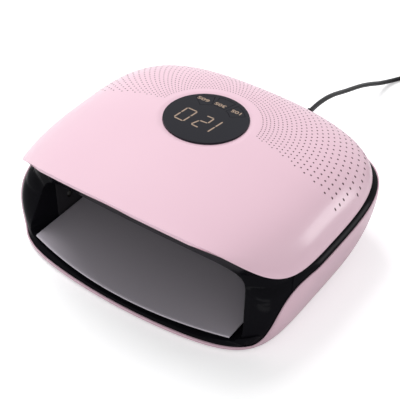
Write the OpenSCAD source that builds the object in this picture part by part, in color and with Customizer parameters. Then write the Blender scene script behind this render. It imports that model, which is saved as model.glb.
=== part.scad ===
// LED nail lamp: a low domed housing with a wide hand opening at the front,
// a round display with three time keys on top, and a lead out of the back.
// Millimetres. X is to the right as seen from the hand opening, the hand goes
// in along +Y, Z is up, and the origin is under the middle of the lamp.

/* [Top cover] */
// Width of the cover across its side edges
cover_w = 212; // [208:0.5:214]
// From the cover's widest line to its front edge
cover_front = 86.5; // [85:0.5:88]
// From the cover's widest line to its rear edge
cover_rear = 90.9; // [88:0.1:93]
// Wall of the cover
cover_wall = 2.2; // [1.8:0.1:2.6]
// Height of the crown above the table
crown_h = 90.7; // [89.5:0.1:93]
// Height of the front edge at its middle
brow_h = 88.5; // [87:0.1:89]
// Height of the side edges
side_edge_h = 51.7; // [50.5:0.1:53]
// Height of the rear edge
rear_edge_h = 55.9; // [54:0.1:57]

/* [Lower shell] */
// Width of the shell across its top edge
shell_w = 219.2; // [217:0.2:220]
// Width of the shell at its base
shell_base_w = 193.6; // [191:0.2:196]
// From the shell's widest line to its front
shell_front = 78.9; // [78.2:0.1:79.5]
// From the shell's widest line to its rear at the top
shell_rear = 98.8; // [97:0.1:101]
// From the shell's widest line to its rear at the base
shell_base_rear = 59; // [56:0.1:64]
// Wall of the shell
shell_wall = 1.8; // [1.5:0.1:2]
// Height of the lip in front of the opening
lip_h = 4.1; // [3.8:0.1:4.6]
// Visible height of the black band under the cover
band_h = 4.9; // [4:0.1:6]
// Height of the rubber feet
foot_h = 1.6; // [1.4:0.1:2.2]

/* [Hand opening] */
// Half width of the opening at mid height
mouth_half_w = 83.8; // [80:0.1:85]
// Height of the opening at its sides
mouth_h = 42.6; // [40:0.1:43.5]
// Extra height of the opening at its middle
mouth_arch = 8.1; // [5:0.1:9]
// Height of the sill
sill_h = 5.2; // [4.8:0.1:5.4]
// Wall of the black frame
frame_wall = 1.6; // [1.4:0.1:2]

/* [Lamp chamber] */
// Half width of the chamber inside
chamber_half_w = 80; // [78.5:0.1:81]
// Height of the chamber's floor
chamber_floor = 7.5; // [7.3:0.1:8]
// Height of the chamber's ceiling
chamber_ceiling = 50; // [46:0.1:52]
// Depth of the chamber behind the middle of the lamp
chamber_rear = 50; // [46:0.5:51]
// Wall of the chamber
chamber_wall = 2.2; // [1.8:0.1:2.4]
// Diameter of a lamp bead
bead_d = 5; // [4:0.1:6]

/* [Floor tray] */
// Half width of the tray
tray_half_w = 76.5; // [70:0.5:77]
// Thickness of the tray
tray_t = 1.2; // [0.8:0.1:1.4]
// How far the tray slides out
tray_travel = 100; // [60:5:120]

/* [Display] */
// Diameter of the display window
window_d = 56.4; // [55:0.1:60]
// Place of the window's centre behind the middle of the lamp
window_y = 12.6; // [8:0.1:16]
// Depth of the window's top face below the crown
window_drop = 1.1; // [0.5:0.1:1.4]
// Backward tilt of the window
window_tilt = 3; // [2.4:0.1:4]
// Thickness of the window
window_t = 2.4; // [2:0.1:3]
// Travel of a time key
key_travel = 0.5; // [0.3:0.05:0.6]

/* [Vents] */
// Number of rings of vent holes
vent_rings = 6; // [3:1:7]
// Radius of the innermost ring of vent holes
vent_r = 40.5; // [40:0.5:44]
// Diameter of a vent hole
vent_d = 1.8; // [1.2:0.1:2.4]

/* [Lead] */
// Diameter of the lead
lead_d = 3.6; // [3.4:0.1:4]
// Height of the lead's inlet
inlet_h = 43; // [42:0.1:43.2]
// Place of the inlet to the right of the middle
inlet_x = 20; // [16:0.5:24]
// Diameter of the plug's barrel
barrel_d = 5.5; // [5:0.1:5.6]
// Radius of the put-away coil at the middle of its turns
coil_r = 21.8; // [20:0.1:24]
// Number of whole loops in the put-away coil
coil_loops = 7; // [5:1:9]

/* [Hidden] */

// Colours
pink = "#eecbdb";
black = "#141318";
steel = "#b9b3ba";

// Fits
slip = 0.25;
seat = 0.1;

// Outline of the cover: exponents of its round corners, front and rear
cover_y = -2.2;
cover_front_n = 3.15;
cover_rear_n = 4;
crown_side_r = 360;
crown_rear_r = 352;
crown_front_r = 2000;
brow_n = 8;
roll_p = 8.3;
roll_q = 1.6;

// Outline of the lower shell
shell_y = -10;
shell_low_n = 6.7;
shell_high_n = 3.24;
shell_rear_n = 4.78;
shell_bow = 12.5;
bow_fade = 30;
shell_belly_n = 1.71;
shell_side_h = side_edge_h - band_h;
shell_floor = lip_h - 1.2;

// Where the shell's edge sweeps up from the lip to the band, in degrees from the front
sweep_at = 59.2;
sweep_rate = 0.275;
sweep_skew = 1.376;
band_start = 70;

// Place and shape of the opening's inner edge
mouth_top_n = 9;
mouth_low_n = 8.6;
mouth_taper = 0.2;
mouth_lean = 0.414;
mouth_bow = 12.4;
mouth_mid_z = sill_h + mouth_h / 2;
mouth_y = shell_y - shell_front + 2.2 + mouth_lean * mouth_h / 2;
mitre_at = 24.5;
tunnel_front = -50;

// Steps of the shells
around = 96;
cover_steps = 13;
cover_inner_steps = 8;
shell_steps = 8;
shell_inner_steps = 8;
mouth_top_steps = 12;
mouth_side_steps = 16;
mouth_fan_steps = 4;
mouth_low_steps = 10;
face_steps = 7;

function arc_pow(v, n) = sign(v) * pow(abs(v), 2 / n);
function mix(a, b, f) = a + (b - a) * f;
function clamp01(v) = min(1, max(0, v));

// Point of a rounded-square outline at angle t, measured from +X towards +Y
function outline(t, half_w, front, rear, n_front, n_rear, mid_y) =
    let (c = cos(t), s = sin(t), n = s < 0 ? n_front : n_rear)
    [half_w * arc_pow(c, n), mid_y + (s < 0 ? front : rear) * arc_pow(s, n)];

// Cover: edge in plan, height of the edge, and the domed surface
function cover_edge(t, inset = 0) = outline(t, cover_w / 2 - inset, cover_front - inset,
    cover_rear - inset, cover_front_n, cover_rear_n, cover_y);
function cover_edge_z(x, y) =
    let (f = clamp01((cover_y - y) / cover_front), r = clamp01((y - cover_y) / cover_rear),
        arch = 1 - pow(min(1, abs(x) / (cover_w / 2)), brow_n))
    side_edge_h + (brow_h - side_edge_h) * f * f * arch + (rear_edge_h - side_edge_h) * r * r;
function crown_z(x, y) =
    crown_h - x * x / (2 * crown_side_r)
    - pow(y - cover_y, 2) / (2 * (y > cover_y ? crown_rear_r : crown_front_r));
function cover_point(t, f, inset) =
    let (e = cover_edge(t, inset), x = e[0] * f, y = cover_y + (e[1] - cover_y) * f,
        low = cover_edge_z(e[0], e[1]), rise = crown_z(x, y) - inset - low)
    [x, y, low + rise * pow(1 - pow(f, roll_p), 1 / roll_q)];

// Lower shell: how full its section is and how square its front corners are at height z
function belly(z) = pow(1 - pow(1 - clamp01(z / shell_side_h), shell_belly_n), 1 / shell_belly_n);
function shell_n(z) = mix(shell_low_n, shell_high_n, pow(clamp01(z / shell_side_h), 3));
function shell_xy(t, z, inset = 0) =
    let (half_w = mix(shell_base_w, shell_w, belly(z)) / 2 - inset,
        rear = mix(shell_base_rear, shell_rear, belly(z)) - inset,
        p = outline(t, half_w, shell_front - inset, rear, shell_n(z), shell_rear_n, shell_y))
    [p[0], p[1] + shell_bow * pow(p[0] / half_w, 2) * clamp01((shell_y - p[1]) / bow_fade)];
function shell_point(t, z, inset = 0) = let (p = shell_xy(t, z, inset)) [p[0], p[1], z];

// Height of the shell's edge, with the angle given in degrees from the front
function from_front(t) = let (d = (t + 90) - 360 * floor((t + 90) / 360)) d > 180 ? 360 - d : d;
function sweep(d) = pow(1 / (1 + exp(-(d - sweep_at) * sweep_rate)), sweep_skew);
function shell_edge_z(t) =
    let (d = from_front(t), e = shell_xy(t, shell_side_h),
        side = e[1] < cover_y ? shell_side_h : cover_edge_z(e[0], e[1]) - band_h)
    mix(lip_h, side, (sweep(d) - sweep(0)) / (sweep(180) - sweep(0)));

// Inner edge of the opening. u and v run round a square from -1 to 1
function on_square(u, v, n) = pow(pow(abs(u), n) + pow(abs(v), n), -1 / n);
function mouth_point(u, v) =
    let (k = on_square(u, v, v > 0 ? mouth_top_n : mouth_low_n), zf = v * k,
        x = u * k * (mouth_half_w - mouth_taper * zf * mouth_h / 2),
        side = pow(abs(x) / mouth_half_w, 2),
        z = mouth_mid_z + zf * mouth_h / 2 + mouth_arch * max(0, zf) * (1 - side))
    [x, mouth_y + mouth_lean * (z - mouth_mid_z) + mouth_bow * side, z];

// Section of the chamber, with square lower corners so that the tray lies flat
function tunnel_xz(u, v, grow = 0) =
    let (k = on_square(u, v, v > 0 ? 12 : 120), half_h = (chamber_ceiling - chamber_floor) / 2)
    [u * k * (chamber_half_w + grow), chamber_floor + half_h + v * k * (half_h + grow)];

// Stations of the right half of the opening, from top middle to bottom middle
mouth_half = mouth_top_steps + mouth_side_steps + mouth_low_steps;
function station_uv(i) =
    i <= mouth_top_steps ? [i / mouth_top_steps, 1]
    : i <= mouth_top_steps + mouth_side_steps ? [1, 1 - 2 * (i - mouth_top_steps) / mouth_side_steps]
    : [1 - (i - mouth_top_steps - mouth_side_steps) / mouth_low_steps, -1];

// Outer edge of the black frame: under the cover's edge, then inside the shell's edge
frame_gap = 0.6;
cover_gap = 0.25;
frame_inset = shell_wall + frame_gap;
edge_inset = 0.8;
low_corner = 48;
fan_start = 28;
function under_cover(t, inset, drop) =
    let (e = cover_edge(t, inset)) [e[0], e[1], cover_edge_z(e[0], e[1]) - drop];
function brow_t(x) = -acos(pow(min(1, x / (cover_w / 2 - edge_inset)), cover_front_n / 2));
function tuck(z, d) = max(z - 3, lip_h - 0.2 + 0.2 * d / 90);
function frame_low(t, inset) = let (d = from_front(t))
    shell_point(t, tuck(shell_edge_z(t), d), inset);
function cover_t(p) =
    let (dy = p[1] - cover_y, reach = dy < 0 ? cover_front : cover_rear,
        n = dy < 0 ? cover_front_n : cover_rear_n)
    atan2(sign(dy) * pow(abs(dy) / reach, n / 2), sign(p[0]) * pow(abs(p[0]) / (cover_w / 2), n / 2));
function frame_high(t, inset, drop) =
    under_cover(cover_t(shell_xy(t, shell_side_h)), edge_inset + inset, drop);
function side_t(s) = -90 + mix(band_start, low_corner,
    (s - mouth_fan_steps - 1) / (mouth_side_steps - mouth_fan_steps - 1));
function low_t(f) = let (x = f * shell_xy(low_corner - 90, lip_h)[0])
    -acos(pow(min(1, x / (shell_base_w / 2)), shell_n(lip_h) / 2));
function frame_edge(i, back) =
    let (s = i - mouth_top_steps, mitre_x = cover_edge(-mitre_at, edge_inset)[0],
        inset = back ? frame_wall : 0, drop = back ? 1.05 : cover_gap,
        t = s <= 0 ? brow_t(mitre_x * i / mouth_top_steps)
            : mix(-mitre_at, cover_t(shell_xy(band_start - 90, shell_side_h)), s / mouth_fan_steps))
    s <= mouth_fan_steps ? under_cover(t, edge_inset + inset, drop)
    : s <= mouth_side_steps ? frame_low(side_t(s), frame_inset + inset)
    : frame_low(low_t(1 - (s - mouth_side_steps) / mouth_low_steps), frame_inset + inset);

// Black face between the frame's outer edge and the opening, full like the shell at its round corners
function skin_t(i) = let (s = i - mouth_top_steps)
    s <= mouth_fan_steps ? -mix(fan_start, 90 - band_start, s / mouth_fan_steps)
    : s <= mouth_side_steps ? side_t(s)
    : low_t(1 - (s - mouth_side_steps) / mouth_low_steps);
function fullness(i) = let (s = i - mouth_top_steps)
    s <= 0 ? 0 : clamp01(s / mouth_fan_steps) * clamp01((mouth_half - i) / (mouth_low_steps * 0.8));
function face_point(i, f) =
    let (m = mouth_point(station_uv(i)[0], station_uv(i)[1]), b = frame_edge(i, false),
        half_w = mix(shell_base_w, shell_w, belly(m[2])) / 2 - frame_inset,
        t_m = -acos(pow(min(1, (abs(m[0]) + 4) / half_w), shell_n(m[2]) / 2)),
        skin = shell_point(mix(skin_t(i), t_m, f), mix(b[2], m[2], f), frame_inset),
        at_b = b - shell_point(skin_t(i), b[2], frame_inset),
        at_m = m - shell_point(t_m, m[2], frame_inset))
    mix(mix(b, m, f), skin + (1 - f) * (1 - f) * at_b + f * f * at_m, fullness(i));
function frame_section(i) =
    let (uv = station_uv(i), m = mouth_point(uv[0], uv[1]), b = frame_edge(i, false),
        b_in = frame_edge(i, true), out = uv / norm(uv),
        knee = m + [out[0] * frame_wall, 3, out[1] * frame_wall],
        tunnel = tunnel_xz(uv[0], uv[1]), tunnel_out = tunnel_xz(uv[0], uv[1], frame_wall))
    concat([for (j = [0:face_steps]) face_point(i, j / face_steps)],
        [[tunnel[0], tunnel_front, tunnel[1]], [tunnel_out[0], tunnel_front, tunnel_out[1]], knee],
        [for (f = [0.75, 0.5, 0.25]) face_point(i, f) + mix(b_in - b, knee - m, f)],
        [b_in]);
function flip_x(p) = [-p[0], p[1], p[2]];

// Faces of a solid made of rings of points
function strip(n, m, wrap) = [for (i = [0:n - (wrap ? 1 : 2)], j = [0:m - 1])
    let (a = i * m + j, b = i * m + (j + 1) % m, c = ((i + 1) % n) * m + (j + 1) % m,
        d = ((i + 1) % n) * m + j) each [[a, b, c], [a, c, d]]];
module ring_solid(rings, wrap = false) {
    n = len(rings);
    m = len(rings[0]);
    ends = wrap ? [] : [[for (j = [m - 1:-1:0]) j], [for (j = [0:m - 1]) (n - 1) * m + j]];
    polyhedron([for (r = rings) each r], concat(strip(n, m, wrap), ends), convexity = 6);
}
module pole_solid(first, rings, last) {
    n = len(rings);
    m = len(rings[0]);
    fan_a = [for (j = [0:m - 1]) [n * m, (j + 1) % m, j]];
    fan_b = [for (j = [0:m - 1]) [n * m + 1, (n - 1) * m + j, (n - 1) * m + (j + 1) % m]];
    polyhedron(concat([for (r = rings) each r], [first, last]),
        concat(strip(n, m, false), fan_a, fan_b), convexity = 6);
}
function turns(n) = [for (j = [0:n - 1]) 360 * j / n];

// Top cover
post_spots = [[92, -15], [88, 40]];
post_d = 9;
post_joint = shell_side_h + 1.2;
window_gap = 0.2;
window_h = crown_h - window_drop;
module at_window() {
    translate([0, window_y, window_h]) rotate([-window_tilt, 0, 0]) children();
}
function cover_ring(f, inset, n = around) = [for (t = turns(n)) cover_point(t, f, inset)];
module cover_shell() {
    outer = [for (k = [1:cover_steps]) cover_ring(sin(90 * k / cover_steps), 0)];
    inner = [for (k = [cover_inner_steps:-1:1])
        cover_ring(sin(90 * k / cover_inner_steps), cover_wall)];
    pole_solid([0, cover_y, crown_h], concat(outer, inner), [0, cover_y, crown_h - cover_wall]);
}
module cover_core() {
    half_wall = cover_wall / 2;
    dome = [for (k = [1:8]) cover_ring(sin(90 * k / 8), half_wall, 64)];
    foot = [for (p = cover_ring(1, half_wall, 64)) [p[0], p[1], 30]];
    pole_solid([0, cover_y, crown_h - half_wall], concat(dome, [foot]), [0, cover_y, 30]);
}
module four_posts() {
    for (s = post_spots, x = [-1, 1]) translate([x * s[0], s[1], 0]) children();
}
holder_spots = [30, 150, 270];
holder_spot_r = window_d / 2 + 7.8;
module vent_holes() {
    for (k = [0:vent_rings - 1]) {
        r = vent_r + k * 9;
        for (a = [0:10:180]) {
            t = a + (k % 2) * 5;
            p = [r * cos(t), window_y + r * sin(t)];
            if (t <= 180 && abs(p[0]) < cover_w / 2 - 18 && p[1] < cover_rear - 22)
                translate([p[0], p[1], crown_h - 35]) cylinder(d = vent_d, h = 40, $fn = 16);
        }
    }
}
module top_cover() color(pink) {
    difference() {
        union() {
            cover_shell();
            intersection() {
                cover_core();
                union() {
                    four_posts() translate([0, 0, post_joint]) cylinder(d = 7, h = 40, $fn = 32);
                    at_window() for (a = holder_spots) rotate([0, 0, a])
                        translate([holder_spot_r, 0, -5.2]) cylinder(d = 5, h = 4, $fn = 24);
                }
            }
        }
        at_window() translate([0, 0, -8]) cylinder(d = window_d + 2 * window_gap, h = 12, $fn = 96);
        four_posts() translate([0, 0, post_joint - 1]) cylinder(d = 2.5, h = 11, $fn = 24);
        at_window() for (a = holder_spots) rotate([0, 0, a])
            translate([holder_spot_r, 0, -6]) cylinder(d = 1.6, h = 3.4, $fn = 16);
        vent_holes();
    }
}

// Display window, its three keys and what is under it
key_angles = [54, 90, 126];
key_span = 28;
key_out = window_d / 2 - 3;
key_in = key_out - 9.9;
flange_t = 0.8;
module wedge(r_in, r_out, span, h) {
    rotate([0, 0, -span / 2]) rotate_extrude(angle = span, $fn = 128)
        translate([r_in, 0]) square([r_out - r_in, h]);
}
module display_window() color(black) at_window() difference() {
    translate([0, 0, -window_t]) cylinder(d = window_d, h = window_t, $fn = 128);
    for (a = key_angles) rotate([0, 0, a]) translate([0, 0, -window_t - 1])
        wedge(key_in - slip, key_out + slip, key_span + 1.4, window_t + 2);
}
stem_low = -6.6;
module key(a) color(black) at_window() rotate([0, 0, a]) {
    translate([0, 0, -window_t - 0.3]) wedge(key_in, key_out, key_span, window_t + 0.3);
    translate([0, 0, -window_t - 0.3 - flange_t]) wedge(key_in - 0.8, key_out + 0.8, key_span + 3, flange_t);
    translate([(key_in + key_out) / 2, 0, stem_low])
        cylinder(d = 3, h = -window_t - 0.3 - stem_low, $fn = 24);
}
module key_10s() key(key_angles[0]);
module key_30s() key(key_angles[1]);
module key_60s() key(key_angles[2]);

holder_low = -13;
holder_in = window_d / 2 - 1.6;
holder_out = window_d / 2 - 0.1;
board_t = 1.6;
module window_holder() color("#2b2a30") at_window() difference() {
    union() {
        rotate_extrude($fn = 128) translate([holder_in, holder_low])
            square([holder_out - holder_in, -window_t - holder_low]);
        for (a = holder_spots) rotate([0, 0, a]) translate([holder_in + 0.5, -3.5, -6.8])
            cube([holder_spot_r + 3 - holder_in, 7, 1.6]);
        rotate_extrude($fn = 128) translate([holder_in - 1.2, holder_low])
            square([1.4, 1.2]);
    }
    for (a = holder_spots) rotate([0, 0, a]) translate([holder_spot_r, 0, -8])
        cylinder(d = 2.2, h = 4, $fn = 24);
}
module holder_screws() color("silver") at_window() for (a = holder_spots)
    rotate([0, 0, a]) translate([holder_spot_r, 0, 0]) {
        translate([0, 0, -8.2]) cylinder(d = 3.8, h = 1.4, $fn = 24);
        translate([0, 0, -7]) cylinder(d = 1.5, h = 4.2, $fn = 16);
    }
board_top = holder_low + 1.2 + board_t;
module control_board() color("#1f5c3a") at_window()
    translate([0, 0, holder_low + 1.2]) cylinder(r = holder_in - slip, h = board_t, $fn = 96);
module_w = 38;
module_l = 19;
module digit_module() color("#e8e4dc") at_window()
    translate([-module_w / 2 - 1, 3 - module_l, board_top])
        cube([module_w, module_l, -window_t - 0.4 - board_top]);
module key_switches() at_window() for (a = key_angles)
    rotate([0, 0, a]) translate([(key_in + key_out) / 2, 0, board_top]) {
        color("#3a3a3e") translate([-2.5, -2.5, 0]) cube([5, 5, 2]);
        color("silver") translate([0, 0, 2]) cylinder(d = 2.6, h = stem_low - key_travel - 0.3 - board_top - 2, $fn = 24);
    }

// Black frame round the opening, and the band that goes on from it to the rear
module front_frame() color(black) {
    right = [for (i = [0:mouth_half]) frame_section(i)];
    left = [for (section = right) [for (p = section) flip_x(p)]];
    ring_solid(concat(left, [for (i = [mouth_half - 1:-1:1]) right[i]]), true);
}
ear_t = 2;
ear_z = post_joint - ear_t - 0.1;
band_steps = 52;
band_knee = 0.5;
band_joint = 0.8;
function band_mid(t, inset) = let (p = shell_xy(t, shell_edge_z(t), inset))
    [p[0], p[1], shell_edge_z(t) + band_knee];
module band_strip() {
    ring_solid([for (k = [0:band_steps])
        let (t = mix(band_start + band_joint - 90, 270 - band_start - band_joint, k / band_steps),
            back = frame_inset + frame_wall)
        [frame_high(t, 0, cover_gap), frame_high(t, frame_wall, cover_gap), band_mid(t, back),
            frame_low(t, back), frame_low(t, frame_inset), band_mid(t, frame_inset)]]);
}
module side_band() color(black) {
    band_strip();
    difference() {
        for (s = post_spots, x = [-1, 1]) {
            edge_x = frame_low(asin(pow(abs(s[1] - shell_y) / shell_rear, shell_rear_n / 2)), frame_inset)[0];
            translate([x > 0 ? s[0] : -edge_x + 1.2, s[1] - 5, ear_z])
                cube([edge_x - 1.2 - s[0], 10, ear_t]);
            translate([x * s[0], s[1], ear_z]) cylinder(d = post_d, h = ear_t, $fn = 32);
        }
        four_posts() translate([0, 0, ear_z - 1]) cylinder(d = 3.4, h = 4, $fn = 24);
    }
}

// Chamber with its lamp boards
bead_x = [-56, -28, 0, 28, 56];
bead_y = [-34, -6, 22];
side_bead_y = [-37, -16, 5, 26];
side_bead_z = [20, 36];
board_lift = 1.8;
function tunnel_outline(grow) = concat(
    [for (i = [0:mouth_half]) tunnel_xz(station_uv(i)[0], station_uv(i)[1], grow)],
    [for (i = [mouth_half - 1:-1:1]) let (p = tunnel_xz(station_uv(i)[0], station_uv(i)[1], grow))
        [-p[0], p[1]]]);
module prism_y(y0, y1, points) {
    translate([0, y1, 0]) rotate([90, 0, 0]) linear_extrude(y1 - y0) polygon(points);
}
magnet_d = 8;
magnet_t = 1.4;
magnet_spots = [[55, -30], [55, 30]];
arm_x = [-12, 50];
arm_w = 6;
arm_h = 3.6;
power_z = inlet_h - 6.2;
power_y = chamber_rear + chamber_wall + 6;
power_d = 24;
board_spots = [[66, -42], [66, 30]];
wall_rear = chamber_rear + chamber_wall;
module panel(i0, i1) {
    prism_y(tunnel_front, chamber_rear, concat(
        [for (i = [i0:i1]) tunnel_xz(station_uv(i)[0], station_uv(i)[1])],
        [for (i = [i1:-1:i0]) tunnel_xz(station_uv(i)[0], station_uv(i)[1], chamber_wall)]));
}
module both_sides() {
    children();
    mirror([1, 0, 0]) children();
}
mouth_corner = mouth_top_steps + mouth_side_steps;
module chamber_ceiling_panel() color("#26242b") difference() {
    union() {
        both_sides() panel(0, mouth_top_steps);
        for (s = board_spots, x = [-1, 1]) translate([x * s[0], s[1], chamber_ceiling + 1])
            cylinder(d = 6, h = chamber_wall + board_lift - 1, $fn = 32);
    }
    for (x = bead_x, y = bead_y) translate([x, y, chamber_ceiling - 2])
        cylinder(d = bead_d + 0.6, h = chamber_wall + 4, $fn = 32);
    for (s = board_spots, x = [-1, 1]) translate([x * s[0], s[1], chamber_ceiling + 0.6])
        cylinder(d = 1.8, h = 6, $fn = 24);
}
module chamber_side() color("#26242b") difference() {
    panel(mouth_top_steps, mouth_corner);
    for (y = side_bead_y, z = side_bead_z) translate([chamber_half_w - 2, y, z]) rotate([0, 90, 0])
        cylinder(d = bead_d + 0.6, h = chamber_wall + 4, $fn = 32);
}
module chamber_right_panel() chamber_side();
module chamber_left_panel() mirror([1, 0, 0]) chamber_side();
module chamber_floor_panel() color("#26242b") difference() {
    both_sides() panel(mouth_corner, mouth_half);
    for (s = magnet_spots, x = [-1, 1]) translate([x * s[0], s[1], chamber_floor - magnet_t])
        cylinder(d = magnet_d + 0.2, h = magnet_t + 1, $fn = 48);
}
module chamber_rear_panel() color("#26242b") difference() {
    union() {
        prism_y(chamber_rear, wall_rear, tunnel_outline(chamber_wall));
        for (x = arm_x) translate([x - arm_w / 2, wall_rear - 1, power_z - arm_h])
            cube([arm_w, 5 + power_d, arm_h]);
    }
    for (x = [-1, 1]) translate([x * 9, chamber_rear - 2, 28]) rotate([-90, 0, 0])
        cylinder(d = 5.4, h = chamber_wall + 4, $fn = 32);
}
ceiling_board_z = chamber_ceiling + chamber_wall + board_lift;
ceiling_board_w = 2 * chamber_half_w - 16;
ceiling_board_y = tunnel_front + 2;
ceiling_board_l = chamber_rear - 14 - ceiling_board_y;
module ceiling_led_board() color("#dfe3e6") difference() {
    translate([-ceiling_board_w / 2, ceiling_board_y, ceiling_board_z])
        cube([ceiling_board_w, ceiling_board_l, board_t]);
    for (s = board_spots, x = [-1, 1]) translate([x * s[0], s[1], ceiling_board_z - 1])
        cylinder(d = 2.4, h = 4, $fn = 24);
}
module board_screws() color("silver") for (s = board_spots, x = [-1, 1])
    translate([x * s[0], s[1], 0]) {
        translate([0, 0, ceiling_board_z + board_t]) cylinder(d = 4, h = 1.5, $fn = 24);
        translate([0, 0, ceiling_board_z - 2.4]) cylinder(d = 1.7, h = 2.5 + board_t, $fn = 24);
    }
module bead(h) {
    cylinder(d = bead_d, h = h - bead_d / 2 + 0.5, $fn = 32);
    translate([0, 0, h - bead_d / 2 + 0.5]) intersection() {
        sphere(d = bead_d, $fn = 32);
        cylinder(d = bead_d + 1, h = bead_d / 2 - 0.5, $fn = 32);
    }
}
module ceiling_beads() color("#e9e2b8") for (x = bead_x, y = bead_y)
    translate([x, y, ceiling_board_z]) rotate([180, 0, 0]) bead(chamber_wall + board_lift - 0.4);
side_board_x = chamber_half_w + chamber_wall + board_lift;
module side_board() {
    translate([side_board_x, -45, 13]) cube([board_t, 77, 30]);
    for (y = [-26.5, 15.5]) translate([side_board_x - board_lift, y - 3, 28 - 3])
        cube([board_lift, 6, 6]);
}
module right_led_board() color("#dfe3e6") side_board();
module left_led_board() color("#dfe3e6") mirror([1, 0, 0]) side_board();
module side_beads() for (y = side_bead_y, z = side_bead_z)
    translate([side_board_x, y, z]) rotate([0, -90, 0]) bead(chamber_wall + board_lift - 0.4);
module right_beads() color("#e9e2b8") side_beads();
module left_beads() color("#e9e2b8") mirror([1, 0, 0]) side_beads();
module hand_sensor() color("#3c1f2c") for (x = [-1, 1])
    translate([x * 9, chamber_rear + 0.4, 28]) rotate([-90, 0, 0]) {
        cylinder(d = 5, h = chamber_wall + 1, $fn = 32);
        translate([0, 0, chamber_wall - 0.4]) cylinder(d = 6.4, h = 1.6, $fn = 32);
    }

// Power board at the rear, with the inlet
jack_w = 9;
jack_recess = 4.8;
jack_front = power_y + 9;
function rear_wall_y(x, z) = shell_xy(90 - asin(pow(abs(x) / (shell_w / 2), shell_rear_n / 2)), z)[1];
jack_rear = rear_wall_y(inlet_x, inlet_h) - jack_recess;
module power_board() color("#1f5c3a") difference() {
    translate([-16, power_y - 2, power_z]) cube([70, power_d, board_t]);
    for (x = arm_x) translate([x, power_y + 10, power_z - 1]) cylinder(d = 2.4, h = 4, $fn = 24);
}
module power_parts() {
    color("#2a2a4a") for (x = [-8, 2]) translate([x, power_y + 14, power_z + board_t])
        cylinder(d = 8, h = 9, $fn = 32);
    color("#222222") translate([32, power_y + 2, power_z + board_t]) cube([9, 9, 1.8]);
    color("#d8d0c0") translate([-12, power_y, power_z + board_t]) cube([12, 5, 6]);
    color("#b87333") translate([9, power_y + 4, power_z + board_t]) cylinder(d = 7, h = 5, $fn = 32);
}
jack_bore_d = barrel_d + 0.1;
module dc_jack() color("#1c1c20") difference() {
    union() {
        translate([inlet_x - jack_w / 2, jack_front, power_z + board_t])
            cube([jack_w, 8, inlet_h + jack_w / 2 - power_z - board_t]);
        translate([inlet_x, jack_front + 2, inlet_h]) rotate([-90, 0, 0])
            cylinder(d = jack_w, h = jack_rear - jack_front - 2, $fn = 48);
    }
    translate([inlet_x, jack_rear - 11, inlet_h]) rotate([-90, 0, 0])
        cylinder(d = jack_bore_d, h = 12, $fn = 48);
}

// Lower shell, with its stations spread more evenly along the flat sides
spread_n = 1.6;
function spread(t) = atan2(arc_pow(sin(t), 2 / spread_n), arc_pow(cos(t), 2 / spread_n));
module shell_skin() {
    function outer_z(t, k) = mix(foot_h, shell_edge_z(t), pow(k / shell_steps, 1.6));
    function inner_z(t, k) = mix(shell_floor, shell_edge_z(t), pow(k / shell_inner_steps, 1.3));
    outer = [for (k = [0:shell_steps])
        [for (a = turns(around)) let (t = spread(-a)) shell_point(t, outer_z(t, k))]];
    inner = [for (k = [shell_inner_steps:-1:0])
        [for (a = turns(around)) let (t = spread(-a)) shell_point(t, inner_z(t, k), shell_wall)]];
    pole_solid([0, shell_y, foot_h], concat(outer, inner), [0, shell_y, shell_floor]);
}
head_z = 40;
foot_spots = [[82, -66], [76, 46]];
foot_d = 14;
foot_sink = 0.6;
module lower_shell() color(pink) difference() {
    union() {
        shell_skin();
        four_posts() translate([0, 0, shell_floor - 0.5])
            cylinder(d = post_d, h = ear_z - 0.1 - shell_floor + 0.5, $fn = 48);
    }
    four_posts() translate([0, 0, foot_h - 1]) cylinder(d = 6.2, h = head_z - foot_h + 1, $fn = 48);
    four_posts() translate([0, 0, head_z - 1]) cylinder(d = 3.4, h = 12, $fn = 32);
    translate([inlet_x, 70, inlet_h]) rotate([-90, 0, 0])
        cylinder(d = plug_d + 1.2, h = 30, $fn = 48);
    for (s = foot_spots, x = [-1, 1]) translate([x * s[0], s[1], foot_h - 1])
        cylinder(d = foot_d + 0.2, h = 1 + foot_sink, $fn = 48);
}
module case_screws() color("silver") four_posts() {
    translate([0, 0, head_z - 2.2]) cylinder(d = 5.6, h = 2.2, $fn = 32);
    translate([0, 0, head_z - 0.5]) cylinder(d = 2.4, h = 16, $fn = 24);
}
module rubber_feet() color("#3a3a3c") for (s = foot_spots, x = [-1, 1])
    translate([x * s[0], s[1], 0]) cylinder(d = foot_d, h = foot_h + foot_sink, $fn = 48);

// Floor tray and the magnets that hold it
tray_gap = 0.4;
tray_rear = chamber_rear - 2;
tray_z = chamber_floor + tray_gap;
tray_nose = mouth_y - mouth_lean * mouth_h / 2 + 1;
tray_bow = 11.7;
module floor_tray() color(steel) translate([0, 0, tray_z]) linear_extrude(tray_t)
    polygon(concat([[tray_half_w, tray_rear - 6], [tray_half_w - 6, tray_rear],
            [6 - tray_half_w, tray_rear], [-tray_half_w, tray_rear - 6]],
        [for (k = [-20:20]) [tray_half_w * k / 20, tray_nose + tray_bow * pow(k / 20, 2)]]));
module tray_magnets() color("#8d9096") for (s = magnet_spots, x = [-1, 1])
    translate([x * s[0], s[1], chamber_floor - magnet_t]) cylinder(d = magnet_d, h = magnet_t, $fn = 48);

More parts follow.
